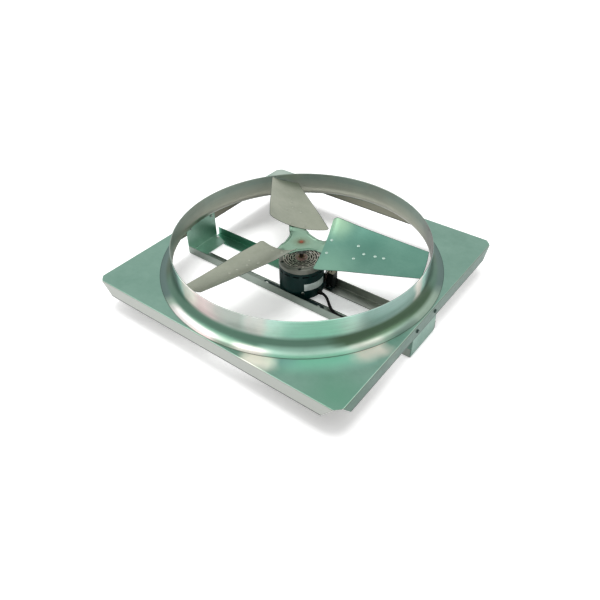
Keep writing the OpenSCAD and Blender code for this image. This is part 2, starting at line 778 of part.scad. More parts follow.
module rotor_core() {
    ring = 5;
    color("#7d8184") difference() {
        union() {
            translate([0, 0, stack_low]) cylinder(r = core_radius, h = stack_height);
            translate([0, 0, stack_low - ring])
                cylinder(r = core_radius - 1, h = stack_height + 2 * ring);
            for (i = [0:11]) rotate(i * 30) translate([core_radius - 12, -1, stack_low - ring - 5])
                cube([9, 2, stack_height + 2 * ring + 10]);
        }
        translate([0, 0, stack_low - 20]) cylinder(r = shaft_radius, h = stack_height + 40);
        for (z = [stack_low - ring - 6, stack_high + ring])
            translate([0, 0, z]) cylinder(r = 14, h = 6);
    }
}

module thrust_washers() {
    upper = boss_top - bushing_length;
    lower = strap_top + 3 + bushing_length;
    color("#9a9a94") for (z = [upper - 2.3, lower + 0.3]) translate([0, 0, z]) difference() {
        cylinder(r = shaft_radius + 3.5, h = 2);
        translate([0, 0, -1]) cylinder(r = shaft_radius, h = 4);
    }
}

module hub_collar() {
    top = hub_top - spider_sheet;
    flange = 3;
    color("#6d706c") translate([0, 0, top - collar_length]) difference() {
        union() {
            cylinder(r = collar_radius, h = collar_length);
            translate([0, 0, collar_length - flange]) cylinder(r = collar_radius + 11, h = flange);
        }
        translate([0, 0, -1]) cylinder(r = shaft_radius, h = collar_length + 2);
        rotate(fan_azimuth + 60) translate([0, 0, 10]) rotate([0, 90, 0])
            cylinder(r = 3.05, h = 40, $fn = 32);
        for (a = [0:120:240]) rotate(fan_azimuth + a) translate([collar_radius + 5.5, 0, 0])
            cylinder(r = rivet_radius + seat, h = collar_length + 2, $fn = 32);
    }
}

module set_screw() {
    from = shaft_radius - 0.8;
    color("#2c2f2e") translate([0, 0, hub_top - spider_sheet - collar_length + 10])
        rotate(fan_azimuth + 60) rotate([0, 90, 0]) {
            translate([0, 0, from]) cylinder(r = 3, h = collar_radius + 2 - from, $fn = 32);
            translate([0, 0, collar_radius + 1.5]) cylinder(d = 10 / cos(30), h = 4, $fn = 6);
        }
}

// ---------------------------------------------------------------- spider and blades

// Height of the rolled curve above its lowest line, straight between the strips' edges.
strip_edges = [for (i = [-9.5:1:9.5]) i * facet];
function arc_height(w) = blade_camber - sqrt(blade_camber * blade_camber - w * w);
function camber(w) = lookup(w, [for (e = strip_edges) [e, arc_height(e)]]);
// The pitch stays the same along the rows between which the root's rivets sit.
function pitch_at(r) = blade_pitch + root_twist * lookup(r,
    [[blade_root, 1], [rivet_row_start, 0.82], [rivet_row_end, 0.82], [twist_end, 0]]);

// A point of a blade's upper face, lowered by depth: x runs out along the blade.
function blade_point(r, w, depth) = let (p = pitch_at(r), h = camber(w) - depth)
    [r, w * cos(p) - h * sin(p), w * sin(p) + h * cos(p)];

// Closed sheet between two grids of points, one row for each radius.
module sheet(upper, lower) {
    rows = len(upper);
    cols = len(upper[0]);
    n = rows * cols;
    grid = [for (i = [0:rows - 2]) for (j = [0:cols - 2]) i * cols + j];
    edge = concat(
        [for (j = [0:cols - 2]) [j, j + 1]],
        [for (i = [0:rows - 2]) [i * cols + cols - 1, (i + 1) * cols + cols - 1]],
        [for (j = [cols - 1:-1:1]) [(rows - 1) * cols + j, (rows - 1) * cols + j - 1]],
        [for (i = [rows - 1:-1:1]) [i * cols, (i - 1) * cols]]);
    polyhedron(
        points = concat([for (row = upper) each row], [for (row = lower) each row]),
        faces = concat(
            [for (a = grid) each [[a, a + 1, a + cols + 1], [a, a + cols + 1, a + cols]]],
            [for (a = grid) each [[n + a, n + a + cols + 1, n + a + 1],
                [n + a, n + a + cols, n + a + cols + 1]]],
            [for (e = edge) each [[e[0], n + e[0], n + e[1]], [e[0], n + e[1], e[1]]]]));
}

module place_blade(k) {
    translate([0, 0, blade_z]) rotate(fan_azimuth + 120 * k) children();
}

// An arm runs along its blade from the first of these on.
shared_rows = [rivet_row_start, rivet_row_end, 110, 124, 138, twist_end];
blade_rows = concat([blade_root - 6], shared_rows, [fan_diameter / 2 + 6]);

module blade() {
    tip = fan_diameter / 2;
    outline = rounded([[blade_root, -root_width / 2], [tip + 3, tip_shift - tip_width / 2],
        [tip + 3, tip_shift + tip_width / 2], [blade_root, root_width / 2]], [10, 12, 12, 16]);
    difference() {
        intersection() {
            sheet([for (r = blade_rows) [for (w = strip_edges) blade_point(r, w, 0)]],
                [for (r = blade_rows) [for (w = strip_edges) blade_point(r, w, blade_sheet)]]);
            rotate([blade_pitch, 0, 0]) translate([0, 0, -60])
                linear_extrude(160) polygon(outline);
            translate([0, 0, -200]) cylinder(r = tip, h = 400, $fn = 240);
        }
        at_blade_rivets() translate([0, 0, -10])
            cylinder(r = rivet_radius + seat, h = 20, $fn = 24);
    }
}

// Places its children on the middle of a strip, square to the blade's upper face.
module at_blade_rivets() {
    for (row = rivet_rows)
        let (w = row[1], lean = atan((camber(w + facet / 2) - camber(w - facet / 2)) / facet))
            rotate([pitch_at(row[0]), 0, 0]) translate([row[0], w, camber(w)])
                rotate([lean, 0, 0]) children();
}

module blade_1() { color("#9fb8a8") place_blade(0) blade(); }
module blade_2() { color("#a6a898") place_blade(1) blade(); }
module blade_3() { color("#a6a898") place_blade(2) blade(); }

// Solid rivet: a domed head above z = 0, a shank and an upset tail at depth grip.
module rivet(grip, head = rivet_head) {
    tail = 1.2;
    rotate_extrude($fn = 24) polygon(concat(
        [for (a = [0:15:90]) [head * cos(a), head * 0.4 * sin(a)]],
        [[0, -grip - tail], [head * 0.75, -grip - tail], [head * 0.75, -grip],
            [rivet_radius, -grip], [rivet_radius, 0]]));
}

module blade_rivets() {
    color("#8d948e") for (k = [0:2]) place_blade(k)
        at_blade_rivets() rivet(blade_sheet + seat + spider_sheet);
}

arm_low = blade_sheet + seat;                // an arm's upper face lies this far below a blade's
arm_rows = concat([40, 53, 57, 61, 65, 69, 73, 76.5, 80], shared_rows, [arm_reach + 4]);
arm_edges = [for (i = [-3.5:1:3.5]) i * facet];

// A point of an arm's sheet: flat in the hub plate, then turned to the blade's pitch. The
// raised side turns up later, which leaves a gap under the blade's root edge.
function arm_point(r, w, depth) =
    let (late = min(1, max(0, w / 18)), start = 53 + 9 * late, end = 73 + 11 * late,
         b = min(1, max(0, (r - start) / (end - start))),
         s = b * b * (3 - 2 * b),
         flat = [r, w, depth + (r > 54 ? 0 : depth < -spider_sheet / 2 ? 0.2 : -0.2)
            - blade_rise],
         risen = blade_point(r, w, arm_low - depth))
    flat * (1 - s) + risen * s;

module spider_arm() {
    outline = rounded([[41, -arm_width / 2], [90, -arm_width / 2], [178, -arm_width / 2 - 4],
        [arm_reach, -14], [arm_reach, 14], [178, arm_width / 2 + 4], [90, arm_width / 2],
        [41, arm_width / 2]], [1, 30, 12, 10, 10, 12, 30, 1]);
    intersection() {
        sheet([for (r = arm_rows) [for (w = arm_edges) arm_point(r, w, 0)]],
            [for (r = arm_rows) [for (w = arm_edges) arm_point(r, w, -spider_sheet)]]);
        translate([0, 0, -60]) linear_extrude(160) polygon(outline);
    }
}

// Radius of the hub plate in the direction a: arms' roots joined by hollow curves.
function plate_radius(a) =
    let (t = abs((a + 60) % 120 - 60), side = arm_width / 2 / max(sin(t), 0.05))
    min(pow(pow(hub_plate_radius, 6) + pow(side, 6), 1 / 6), 55 / max(cos(t), 0.05));

module spider() {
    color("#9cc0ab") difference() {
        union() {
            translate([0, 0, hub_top - spider_sheet]) rotate(fan_azimuth)
                linear_extrude(spider_sheet)
                    polygon([for (a = [0:5:355]) plate_radius(a) * [cos(a), sin(a)]]);
            for (k = [0:2]) place_blade(k) spider_arm();
        }
        translate([0, 0, hub_top - 5]) cylinder(r = shaft_radius + seat, h = 10);
        for (a = [0:120:240]) rotate(fan_azimuth + a)
            translate([collar_radius + 5.5, 0, hub_top - 5])
                cylinder(r = rivet_radius + seat, h = 10, $fn = 24);
        for (k = [0:2]) place_blade(k) at_blade_rivets() translate([0, 0, -10])
            cylinder(r = rivet_radius + seat, h = 20, $fn = 24);
    }
}

module hub_rivets() {
    color("#8d948e") for (a = [0:120:240]) rotate(fan_azimuth + a)
        translate([collar_radius + 5.5, 0, hub_top]) rivet(spider_sheet + 3, 4);
}

panel();
venturi_ring();
rail_front();
rail_back();
bracket_left();
bracket_right();
flange_screws();
flange_nuts();
rail_screws();
mounting_strap_front();
mounting_strap_back();
strap_screws();
motor_shell();
ground_screw();
upper_end_bell();
lower_end_bell();
through_bolts();
stator_core();
stator_windings();
upper_bushing();
lower_bushing();
nameplate();
cord_grommet();
lead_grommet();
run_capacitor();
capacitor_seal();
capacitor_screw();
capacitor_leads();
motor_cord();
cord_conductors();
motor_shaft();
rotor_core();
thrust_washers();
hub_collar();
set_screw();
spider();
hub_rivets();
blade_1();
blade_2();
blade_3();
blade_rivets();
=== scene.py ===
from math import cos, sin, radians, pi, tau
import bpy
import numpy as np
from mathutils import Matrix, Vector


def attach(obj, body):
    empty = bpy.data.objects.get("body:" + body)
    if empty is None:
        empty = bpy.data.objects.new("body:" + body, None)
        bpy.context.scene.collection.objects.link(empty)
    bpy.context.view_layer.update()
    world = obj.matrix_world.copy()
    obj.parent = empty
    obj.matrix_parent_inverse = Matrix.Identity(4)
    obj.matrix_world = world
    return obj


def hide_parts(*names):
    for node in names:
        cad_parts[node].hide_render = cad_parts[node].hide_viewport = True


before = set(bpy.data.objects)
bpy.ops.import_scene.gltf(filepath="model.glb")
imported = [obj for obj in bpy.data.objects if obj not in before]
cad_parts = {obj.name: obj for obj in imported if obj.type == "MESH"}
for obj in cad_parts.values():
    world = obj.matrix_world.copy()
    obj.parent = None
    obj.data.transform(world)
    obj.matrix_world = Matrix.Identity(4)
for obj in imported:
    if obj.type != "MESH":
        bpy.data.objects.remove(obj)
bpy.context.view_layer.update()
print("frame loaded,", len(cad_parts), "CAD nodes")

housing, rotor = "housing", "fan_rotor"

# Where the photograph was taken from: metres, degrees, and a lens for a 36 mm sensor
cameraSetup = {
    "aim": (0.1153, -0.1608, 0.112),
    "azimuth": 37.68,
    "elevation": 39.64,
    "roll": -0.99,
    "distance": 1.686,
    "lens": 35.46,
    "sensor": 36,
    "farthest": 60,
}


def placeCamera(setup):
    azimuth, elevation, roll = (radians(setup[k]) for k in ("azimuth", "elevation", "roll"))
    back = np.array([sin(azimuth) * cos(elevation), -cos(azimuth) * cos(elevation), sin(elevation)])
    level = np.array([cos(azimuth), sin(azimuth), 0.0])
    upright = np.cross(back, level)
    right = level * cos(roll) + upright * sin(roll)
    up = upright * cos(roll) - level * sin(roll)
    place = np.eye(4)
    place[:3, 0], place[:3, 1], place[:3, 2] = right, up, back
    place[:3, 3] = np.array(setup["aim"]) + back * setup["distance"]
    data = bpy.data.cameras.new("studioCamera")
    data.lens = setup["lens"]
    data.sensor_width = setup["sensor"]
    data.clip_end = setup["farthest"]
    camera = bpy.data.objects.new("studioCamera", data)
    bpy.context.scene.collection.objects.link(camera)
    camera.matrix_world = Matrix(place.tolist())
    bpy.context.scene.camera = camera


placeCamera(cameraSetup)


# A Signal wraps a node's socket, and arithmetic on it adds Math nodes beside it
class Signal:
    def __init__(self, finish, socket):
        self.finish, self.socket = finish, socket

    def maths(self, operation, *terms):
        return self.finish.node("Math", {"operation": operation}, dict(enumerate(terms)))

    def __add__(self, other):
        return self.maths("ADD", self, other)

    def __sub__(self, other):
        return self.maths("SUBTRACT", self, other)

    def __rsub__(self, other):
        return self.maths("SUBTRACT", other, self)

    def __mul__(self, other):
        return self.maths("MULTIPLY", self, other)

    def __pow__(self, other):
        return self.maths("POWER", self, other)

    __radd__ = __add__
    __rmul__ = __mul__

    def size(self):
        return self.maths("ABSOLUTE", self)

    def most(self, other):
        return self.maths("MAXIMUM", self, other)

    def above(self, edge, soft, course="LINEAR"):
        # 0 below edge, rising to 1 over the distance soft
        settings = {"clamp": True, "interpolation_type": course}
        sockets = {"Value": self, "From Min": edge, "From Max": edge + soft}
        return self.finish.node("MapRange", settings, sockets)

    def eased(self, edge, soft):
        # as above, but starting and ending gently
        return self.above(edge, soft, "SMOOTHSTEP")

    def near(self, middle, half, soft):
        # 1 within half of middle, falling to 0 over the distance soft on both sides
        return 1 - (self - middle).size().eased(half, soft)


# A Finish is one material, or the world, being built. Its node method makes any node:
# settings are set first, then the sockets, named or numbered, get values or signals.
class Finish:
    def __init__(self, name, library=bpy.data.materials):
        self.owner = library.new(name)
        self.owner.use_nodes = True
        self.tree = self.owner.node_tree
        self.tree.nodes.clear()

    def node(self, kind, settings=None, sockets=None, out=0):
        made = self.tree.nodes.new("ShaderNode" + kind)
        for key, value in (settings or {}).items():
            setattr(made, key, value)
        for key, value in (sockets or {}).items():
            self.feed(made.inputs[key], value)
        if not made.outputs:   # the closing output node hands nothing on
            return None
        signal = Signal(self, made.outputs[out])
        signal.made = made
        return signal

    def feed(self, socket, value):
        if isinstance(value, Signal):
            self.tree.links.new(value.socket, socket)
        elif socket.type == "RGBA" and len(value) == 3:
            socket.default_value = (*value, 1)
        else:
            socket.default_value = value

    def own(self):
        # the object's own coordinates, which are metres in the frame
        return self.node("TexCoord", out="Object")

    def axis(self, name, vector=None):
        return self.node("SeparateXYZ", {}, {0: vector or self.own()}, out=name)

    def direction(self, x, y):
        # in degrees from +X, counted round the object's axis
        return self.node("Math", {"operation": "ARCTAN2"}, {0: y, 1: x}) * (180 / pi)

    def mark(self, name):
        # a number that the mesh holds at each of its points, 0 on a mesh without it
        return self.node("Attribute", {"attribute_name": name}, out="Fac")

    def place(self, stretch=(1, 1, 1)):
        return self.node("Mapping", {}, {"Vector": self.own(), "Scale": stretch})

    def noise(self, size, detail=2, rough=0.5, stretch=(1, 1, 1)):
        # smooth noise from 0 to 1 whose blobs are about size metres across
        sockets = {"Vector": self.place(stretch), "Scale": 1 / size, "Detail": detail, "Roughness": rough}
        return self.node("TexNoise", {}, sockets)

    def cells(self, size):
        # a random number for each crystal-shaped cell, about size metres across
        sockets = {"Vector": self.place(), "Scale": 1 / size, "Randomness": 1.0}
        return self.axis("X", self.node("TexVoronoi", {}, sockets, out="Color"))

    def mix(self, share, first, second):
        # colour first where share is 0, second where it is 1
        mixed = self.node("Mix", {"data_type": "RGBA"})
        for key, value in (("Factor_Float", share), ("A_Color", first), ("B_Color", second)):
            self.feed(next(s for s in mixed.made.inputs if s.identifier == key), value)
        mixed.socket = next(s for s in mixed.made.outputs if s.identifier == "Result_Color")
        return mixed

    def bump(self, height, depth, strength):
        return self.node("Bump", {}, {"Height": height, "Distance": depth, "Strength": strength})

    def done(self, **surface):
        shader = self.node("BsdfPrincipled", {}, surface)
        self.node("OutputMaterial", {}, {"Surface": shader})
        return self.owner


def distance(a, b):
    # of a point from the middle, out of its two coordinates
    return (a ** 2 + b ** 2) ** 0.5


bladeAzimuth = 15.0   # the first blade's direction from +X in degrees

# Sheet metal with a passivated zinc finish: its colour from clean to dull, its roughness,
# the strength of its relief, and the edge mark from which painted shade darkens it towards a cut edge
sheetMetals = {
    "panelSheet": {
        "clean": (0.235, 0.385, 0.315), "dull": (0.165, 0.300, 0.240), "gloss": 0.25, "relief": 0.15},
    "railSheet": {
        "clean": (0.36, 0.38, 0.34), "dull": (0.24, 0.27, 0.24), "gloss": 0.34, "relief": 0.5},
    "bracketSheet": {
        "clean": (0.28, 0.42, 0.36), "dull": (0.17, 0.30, 0.25), "gloss": 0.32, "relief": 0.5},
    # a paler copy of the bracket sheet for the left bracket, painted light
    "paintedLightBracketSheet": {
        "clean": (0.43, 0.62, 0.52), "dull": (0.26, 0.43, 0.35), "gloss": 0.32, "relief": 0.5},
    "bladeSheet": {
        "clean": (0.39, 0.41, 0.33), "dull": (0.29, 0.32, 0.25), "gloss": 0.30, "relief": 0.5,
        "edgeFrom": 0.1},
    # the first blade's copy of the blade sheet, tinted as a painted reflection
    "paintedReflectionBladeSheet": {
        "clean": (0.155, 0.315, 0.250), "dull": (0.095, 0.225, 0.175), "gloss": 0.26, "relief": 0.5,
        "edgeFrom": 0.1},
    "spiderSheet": {
        "clean": (0.30, 0.46, 0.34), "dull": (0.17, 0.29, 0.22), "gloss": 0.32, "relief": 0.5,
        "edgeFrom": 0.2},
}
# what every sheet has, in metres: its crystals, its rolling lines, its smudges, its relief
sheetLayers = {"crystals": 0.009, "lines": 0.004, "smudges": 0.11, "depth": 0.00004}
# painted shade along cut edges: its colour, its share and how softly it sets in
cutEdgeShade = {"colour": (0.035, 0.06, 0.05), "share": 0.85, "soft": 0.3}
panelLook = {
    # painted reflections beside the ring's foot, darker in front and paler behind: where, how far they
    # reach, how strong, colour
    "places": (
        ((0.400, -0.400), 0.142, 0.80, (0.130, 0.310, 0.215)),
        ((-0.410, 0.410), 0.112, 0.85, (0.50, 0.58, 0.52)),
    ),
    # painted highlights and reflections in pale arcs along the ring's foot: direction, half width
    # and fading in degrees, the radius where they start to fade, how far they fade, strength, colour
    "arcs": (
        (-44, 11, 9, 0.446, 0.060, 0.85, (0.36, 0.66, 0.54)),
        (-60, 2, 6, 0.440, 0.045, 0.60, (0.32, 0.45, 0.46)),
        (-67.5, 3, 5, 0.456, 0.050, 1.0, (1.0, 0.96, 0.84)),
        (-29, 3, 6, 0.450, 0.042, 0.96, (0.98, 0.82, 0.74)),
    ),
    # zones of the sheet: colour, and its share over the sheet's own
    # the front face's paler tone is a painted reflection, the bend's pale line a painted highlight
    "front": ((0.42, 0.44, 0.41), 1.0), "bend": ((0.50, 0.62, 0.55), 0.3),
    # the right face's darker tone is painted shade
    "inner": ((0.24, 0.24, 0.19), 1.0), "right": ((0.06, 0.09, 0.08), 0.6),
    # the cut's dark line under the flange's bottom edge is painted shade
    "cut": ((0.04, 0.05, 0.05), 0.9),
    # where the zones begin, and over which distance they set in
    "topAbove": (0.1112, 0.0005), "cutBelow": (0.0718, 0.0004), "bendFrom": (0.4355, 0.0006),
    "outerFace": (0.4373, 0.0004), "frontFace": (-0.4374, 0.0004),
}
railLook = {
    "green": (0.15, 0.37, 0.27), "greenBefore": -0.22, "fades": 0.20,
    "front": (0.30, 0.37, 0.33), "frontShare": 0.55,
}
# painted reflections on the first blade, paler near the root and darker further out: place along and
# across it, reach, strength, colour
firstBladePaintedReflections = (
    ((0.090, 0.080), 0.080, 0.55, (0.40, 0.58, 0.38)),
    ((0.110, -0.075), 0.120, 0.55, (0.27, 0.50, 0.37)),
    ((0.200, 0.030), 0.100, 0.50, (0.075, 0.200, 0.155)),
)
spiderLook = {
    # stains round the shaft: where they start to fade, how far they fade, strength, colour
    "stains": ((0.008, 0.030, 0.5, (0.17, 0.19, 0.11)), (0.008, 0.008, 0.6, (0.16, 0.08, 0.04))),
    # painted shade in the valley beside the pressed rib, and its share
    "crease": (0.04, 0.11, 0.07), "creaseShare": 0.85,
}


def blot(f, a, b, size, wander, start, reach):
    # 1 where both coordinates are 0, fading to 0 at an uneven distance
    return 1 - (distance(a, b) + f.noise(size) * wander).eased(start, reach)


def panelPaintedLight(f, colour):
    look = panelLook
    x, y, z = f.axis("X"), f.axis("Y"), f.axis("Z")
    # painted reflections in places and arcs, then painted light and shade on the flange's faces
    for (px, py), reach, strength, pale in look["places"]:
        colour = f.mix(blot(f, x - px, y - py, 0.05, 0.03, 0.008, reach) * strength, colour, pale)
    drift = f.noise(0.06)
    angle, radius = f.direction(x, y) + drift * 6 - 3, distance(x, y) + drift * 0.01
    for middle, half, soft, fades, reach, strength, pale in look["arcs"]:
        arc = angle.near(middle, half, soft) * (1 - radius.eased(fades, reach))
        colour = f.mix(arc * strength, colour, pale)
    below = 1 - z.above(*look["topAbove"])
    outward = x.size().most(y.size())
    zones = {
        "front": below * (1 - y.above(*look["frontFace"])),
        "bend": outward.above(*look["bendFrom"]) * (1 - below),
        "inner": below * (1 - outward.above(*look["outerFace"])),
        "right": below * x.above(*look["outerFace"]),
        "cut": 1 - z.above(*look["cutBelow"]),
    }
    # painted light on the front face and the bend, painted shade on the right face and at the cut, and the
    # inner faces' own tone
    for name, where in zones.items():
        tint, share = look[name]
        colour = f.mix(where * share, colour, tint)
    return colour


def firstBladeReflections(f, colour):
    x, y = f.axis("X"), f.axis("Y")
    c, s = cos(radians(bladeAzimuth)), sin(radians(bladeAzimuth))
    u, v = x * c + y * s, y * c - x * s   # along the blade and across it
    for (along, across), reach, strength, tint in firstBladePaintedReflections:
        colour = f.mix(blot(f, u - along, v - across, 0.07, 0.04, 0.015, reach) * strength, colour, tint)
    return colour


def spiderStainsAndShade(f, colour):
    radius = distance(f.axis("X"), f.axis("Y"))
    for start, reach, strength, tint in spiderLook["stains"]:
        colour = f.mix((1 - radius.eased(start, reach)) * strength, colour, tint)
    # painted shade along the valley beside the pressed rib
    return f.mix(f.mark("crease") * spiderLook["creaseShare"], colour, spiderLook["crease"])


def railStains(f, colour):
    # the left end of the back rail is green, the front rail a little greener all along
    look = railLook
    behind = f.axis("Y").above(0, 0.001)
    green = (1 - f.axis("X").eased(look["greenBefore"], look["fades"])) * behind
    return f.mix((1 - behind) * look["frontShare"], f.mix(green, colour, look["green"]), look["front"])


sheetStainsAndLight = {
    "panelSheet": panelPaintedLight, "paintedReflectionBladeSheet": firstBladeReflections, "spiderSheet": spiderStainsAndShade,
    "railSheet": railStains,
}


def sheetMetal(name):
    # crystals, rolling lines and smudges, then the sheet's own stains and painted light, and painted shade
    # along its cut edges
    look, layers = sheetMetals[name], sheetLayers
    f = Finish(name)
    spangle = f.cells(layers["crystals"])
    rolling = f.noise(layers["lines"], 3, 0.6, stretch=(0.06, 1, 1))
    smudge = f.noise(layers["smudges"], 3, 0.55)
    dullness = smudge.above(0.32, 0.36) * 0.62 + spangle * 0.12 + rolling * 0.26
    colour = f.mix(dullness, look["clean"], look["dull"])
    if name in sheetStainsAndLight:
        colour = sheetStainsAndLight[name](f, colour)
    # painted shade towards the cut edges
    if "edgeFrom" in look:
        edge = f.mark("edge").above(look["edgeFrom"], cutEdgeShade["soft"])
        colour = f.mix(edge * cutEdgeShade["share"], colour, cutEdgeShade["colour"])
    rough = look["gloss"] + smudge * 0.10 + spangle * 0.05
    relief = f.bump(rolling * 0.6 + spangle * 0.4, layers["depth"], look["relief"])
    return f.done(**{"Base Color": colour, "Metallic": 1.0, "Roughness": rough, "Normal": relief})


ringLook = {
    # the outer face's tones; the fold's dark band and the foot's darker tone are painted reflections
    "wall": (0.55, 0.80, 0.72), "fold": (0.10, 0.19, 0.14), "foot": (0.30, 0.40, 0.32),
    "tints": {
        "cream": (0.98, 0.90, 0.84), "rosy": (0.78, 0.60, 0.60), "grey": (0.45, 0.48, 0.44),
        "mint": (0.56, 0.90, 0.75), "shade": (0.10, 0.16, 0.15), "white": (0.84, 0.79, 0.77),
        "olive": (0.05, 0.08, 0.04),
    },
    # arcs of painted reflection, highlight and shade: direction, half width and fading in degrees,
    # strength, tint
    "wallReflections": (
        (-144, 24, 10, 0.93, "shade"), (-104, 3, 7, 1.0, "cream"), (-93, 4, 6, 0.9, "rosy"),
        (-82, 4, 8, 0.9, "grey"), (-70, 2, 5, 0.5, "rosy"), (-48, 8, 10, 0.95, "mint"),
        (-14, 12, 8, 0.5, "shade"), (3, 1, 4, 0.95, "cream"), (34, 18, 8, 0.8, "shade"),
        (85, 6, 14, 0.7, "mint"), (128, 8, 12, 0.6, "grey"), (152, 4, 9, 0.6, "rosy"),
    ),
    "footReflections": (
        (-146, 24, 10, 0.92, "shade"), (-98, 9, 7, 1.0, "white"), (-72, 4, 6, 0.9, "cream"),
        (-50, 12, 8, 0.5, "mint"), (-30, 4, 6, 0.35, "cream"), (-12, 3, 6, 0.5, "shade"),
        (36, 18, 8, 0.9, "shade"), (95, 14, 12, 0.7, "mint"), (140, 6, 8, 0.6, "white"),
    ),
    "foldDarkReflections": ((-14, 24, 8, 0.75, "olive"), (-144, 12, 8, 0.7, "olive"), (46, 8, 8, 0.5, "olive")),
    # a pale painted reflection on the flare itself, on the front's left half
    "belly": (-54, 10, 7, 0.30, "mint"),
    # distances up the profile from the foot's edge, and over which length each sets in:
    # the lap's dark edge, the foot's end, the wall's start, and the belly's middle and half
    "lapEnds": (0.0012, 0.0008), "footEnds": (0.013, 0.016), "wallStarts": (0.049, 0.017),
    "bellyPlace": (0.025, 0.002, 0.012),
    "edge": (0.05, 0.08, 0.07), "edgeShare": 0.7,
    # the inner wall: its tone low and high up, then arcs of it as above, and its clouds
    "insideLow": (0.40, 0.41, 0.34), "insideHigh": (0.30, 0.36, 0.31), "insideRises": (0.140, 0.050),
    "underRim": ((100, 60, 25), 0.2, (0.17, 0.26, 0.24)), "underRimAbove": (0.172, 0.012),
    "insideRight": ((28, 10, 16), 0.75, (0.19, 0.18, 0.18)),
    "cloudTone": 0.72, "cloudShare": 0.35,
    "grime": (0.10, 0.13, 0.12),
}


def ringMetal():
    # the spun ring: painted reflections, highlights and shade in arcs on its outer wall and its foot,
    # with a painted dark reflection in the fold between them, and an inner wall that is greyer and darkens
    # towards the rim
    look = ringLook
    f = Finish("ringSheet")
    z, place, inside = f.axis("Z"), f.mark("profilePlace"), f.mark("inside")
    cloud, smudge = f.noise(0.09, 2, 0.5), f.noise(0.03, 3, 0.6)
    drift = f.direction(f.axis("X"), f.axis("Y")) + cloud * 10 - 5

    # arcs of painted reflection, highlight and shade round the axis
    def paintedArcs(base, arcs, where=1):
        colour = base
        for middle, half, soft, strength, tint in arcs:
            colour = f.mix(drift.near(middle, half, soft) * where * strength, colour, look["tints"][tint])
        return colour

    onWall = place.eased(*look["wallStarts"])
    fold, wall = paintedArcs(look["fold"], look["foldDarkReflections"]), paintedArcs(look["wall"], look["wallReflections"])
    colour = f.mix(onWall, fold, wall)
    colour = paintedArcs(colour, [look["belly"]], place.near(*look["bellyPlace"]))
    foot = 1 - place.eased(*look["footEnds"])
    colour = f.mix(foot, colour, paintedArcs(look["foot"], look["footReflections"]))
    colour = f.mix((1 - place.above(*look["lapEnds"])) * look["edgeShare"], colour, look["edge"])
    inner = f.mix(z.eased(*look["insideRises"]), look["insideLow"], look["insideHigh"])
    arc, share, tint = look["underRim"]
    inner = f.mix(drift.near(*arc) * z.eased(*look["underRimAbove"]) * share, inner, tint)
    arc, share, tint = look["insideRight"]
    inner = f.mix(drift.near(*arc) * share, inner, tint)
    clouded = tuple(look["cloudTone"] * part for part in look["insideLow"])
    inner = f.mix(cloud.above(0.5, 0.2) * look["cloudShare"], inner, clouded)
    spun = f.noise(0.0035, 3, 0.6, stretch=(0.02, 0.02, 1))
    grime = spun.above(0.45, 0.3) * 0.12 + smudge.above(0.5, 0.3) * 0.10
    colour = f.mix(grime, f.mix(inside, colour, inner), look["grime"])
    return f.done(**{
        "Base Color": colour, "Metallic": 1 - onWall * (1 - inside) * 0.25,
        "Roughness": 0.24 + smudge * 0.12 + onWall * 0.10, "Normal": f.bump(spun, 0.00003, 0.4)})


# a painted reflection on the first blade's rivets, matching its tint, dulled to the blades' own tone on
# the other two
rivetLook = {"dull": (0.36, 0.38, 0.31), "bright": (0.40, 0.55, 0.48), "worn": (0.30, 0.34, 0.30)}


def rivetMetal():
    look = rivetLook
    f = Finish("rivetSteel")
    grain = f.noise(0.0015, 3, 0.6)
    along = f.axis("X") * cos(radians(bladeAzimuth)) + f.axis("Y") * sin(radians(bladeAzimuth))
    colour = f.mix(grain * 0.4, f.mix(along.above(0.05, 0.01), look["dull"], look["bright"]), look["worn"])
    return f.done(**{
        "Base Color": colour, "Metallic": 1.0, "Roughness": 0.26 + grain * 0.1,
        "Normal": f.bump(grain, 0.00003, 0.6)})


# dark steel, rusty at its upper end
shaftLook = {"steel": (0.05, 0.045, 0.04), "rust": (0.25, 0.07, 0.03), "rustAbove": (0.170, 0.006)}


def rustyShaft():
    look = shaftLook
    f = Finish("shaftSteel")
    rust = f.noise(0.006, 4, 0.7).above(0.35, 0.2) * f.axis("Z").above(*look["rustAbove"])
    return f.done(**{
        "Base Color": f.mix(rust, look["steel"], look["rust"]), "Metallic": 1 - 0.7 * rust,
        "Roughness": 0.35 + rust * 0.4, "Normal": f.bump(rust, 0.0001, 0.6)})


# bare casting: a boss painted rosy as a highlight, pale lands between the slots and a darker outer
# ring, and the radii where the lands start and end and where the slots do
bellLook = {
    "boss": (0.62, 0.42, 0.38), "lands": (0.66, 0.64, 0.55), "ring": (0.20, 0.21, 0.18),
    "stain": (0.12, 0.12, 0.10), "slotShade": (0.004, 0.004, 0.004),
    "landsFrom": (0.019, 0.002), "ringFrom": (0.056, 0.002),
    "slotsFrom": (0.0200, 0.0005), "slotsTo": (0.0560, 0.0005),
}


def bellMetal():
    look = bellLook
    f = Finish("bellCasting")
    grain, stain = f.noise(0.0015, 3, 0.6), f.noise(0.02, 3, 0.6)
    radius = distance(f.axis("X"), f.axis("Y"))
    colour = f.mix(radius.above(*look["landsFrom"]), look["boss"], look["lands"])
    colour = f.mix(radius.above(*look["ringFrom"]), colour, look["ring"])
    colour = f.mix(stain.above(0.45, 0.3) * 0.4 + grain * 0.2, colour, look["stain"])
    # the slots' walls are painted black as the shade down in the slots
    upright = 1 - f.axis("Z", f.node("NewGeometry", out="Normal")).above(0.5, 0.2)
    slotWallShade = upright * (1 - radius.above(*look["slotsTo"])) * radius.above(*look["slotsFrom"])
    return f.done(**{
        "Base Color": f.mix(slotWallShade, colour, look["slotShade"]), "Metallic": 0.5,
        "Roughness": 0.34 + stain * 0.12, "Normal": f.bump(grain, 0.0001, 0.6)})


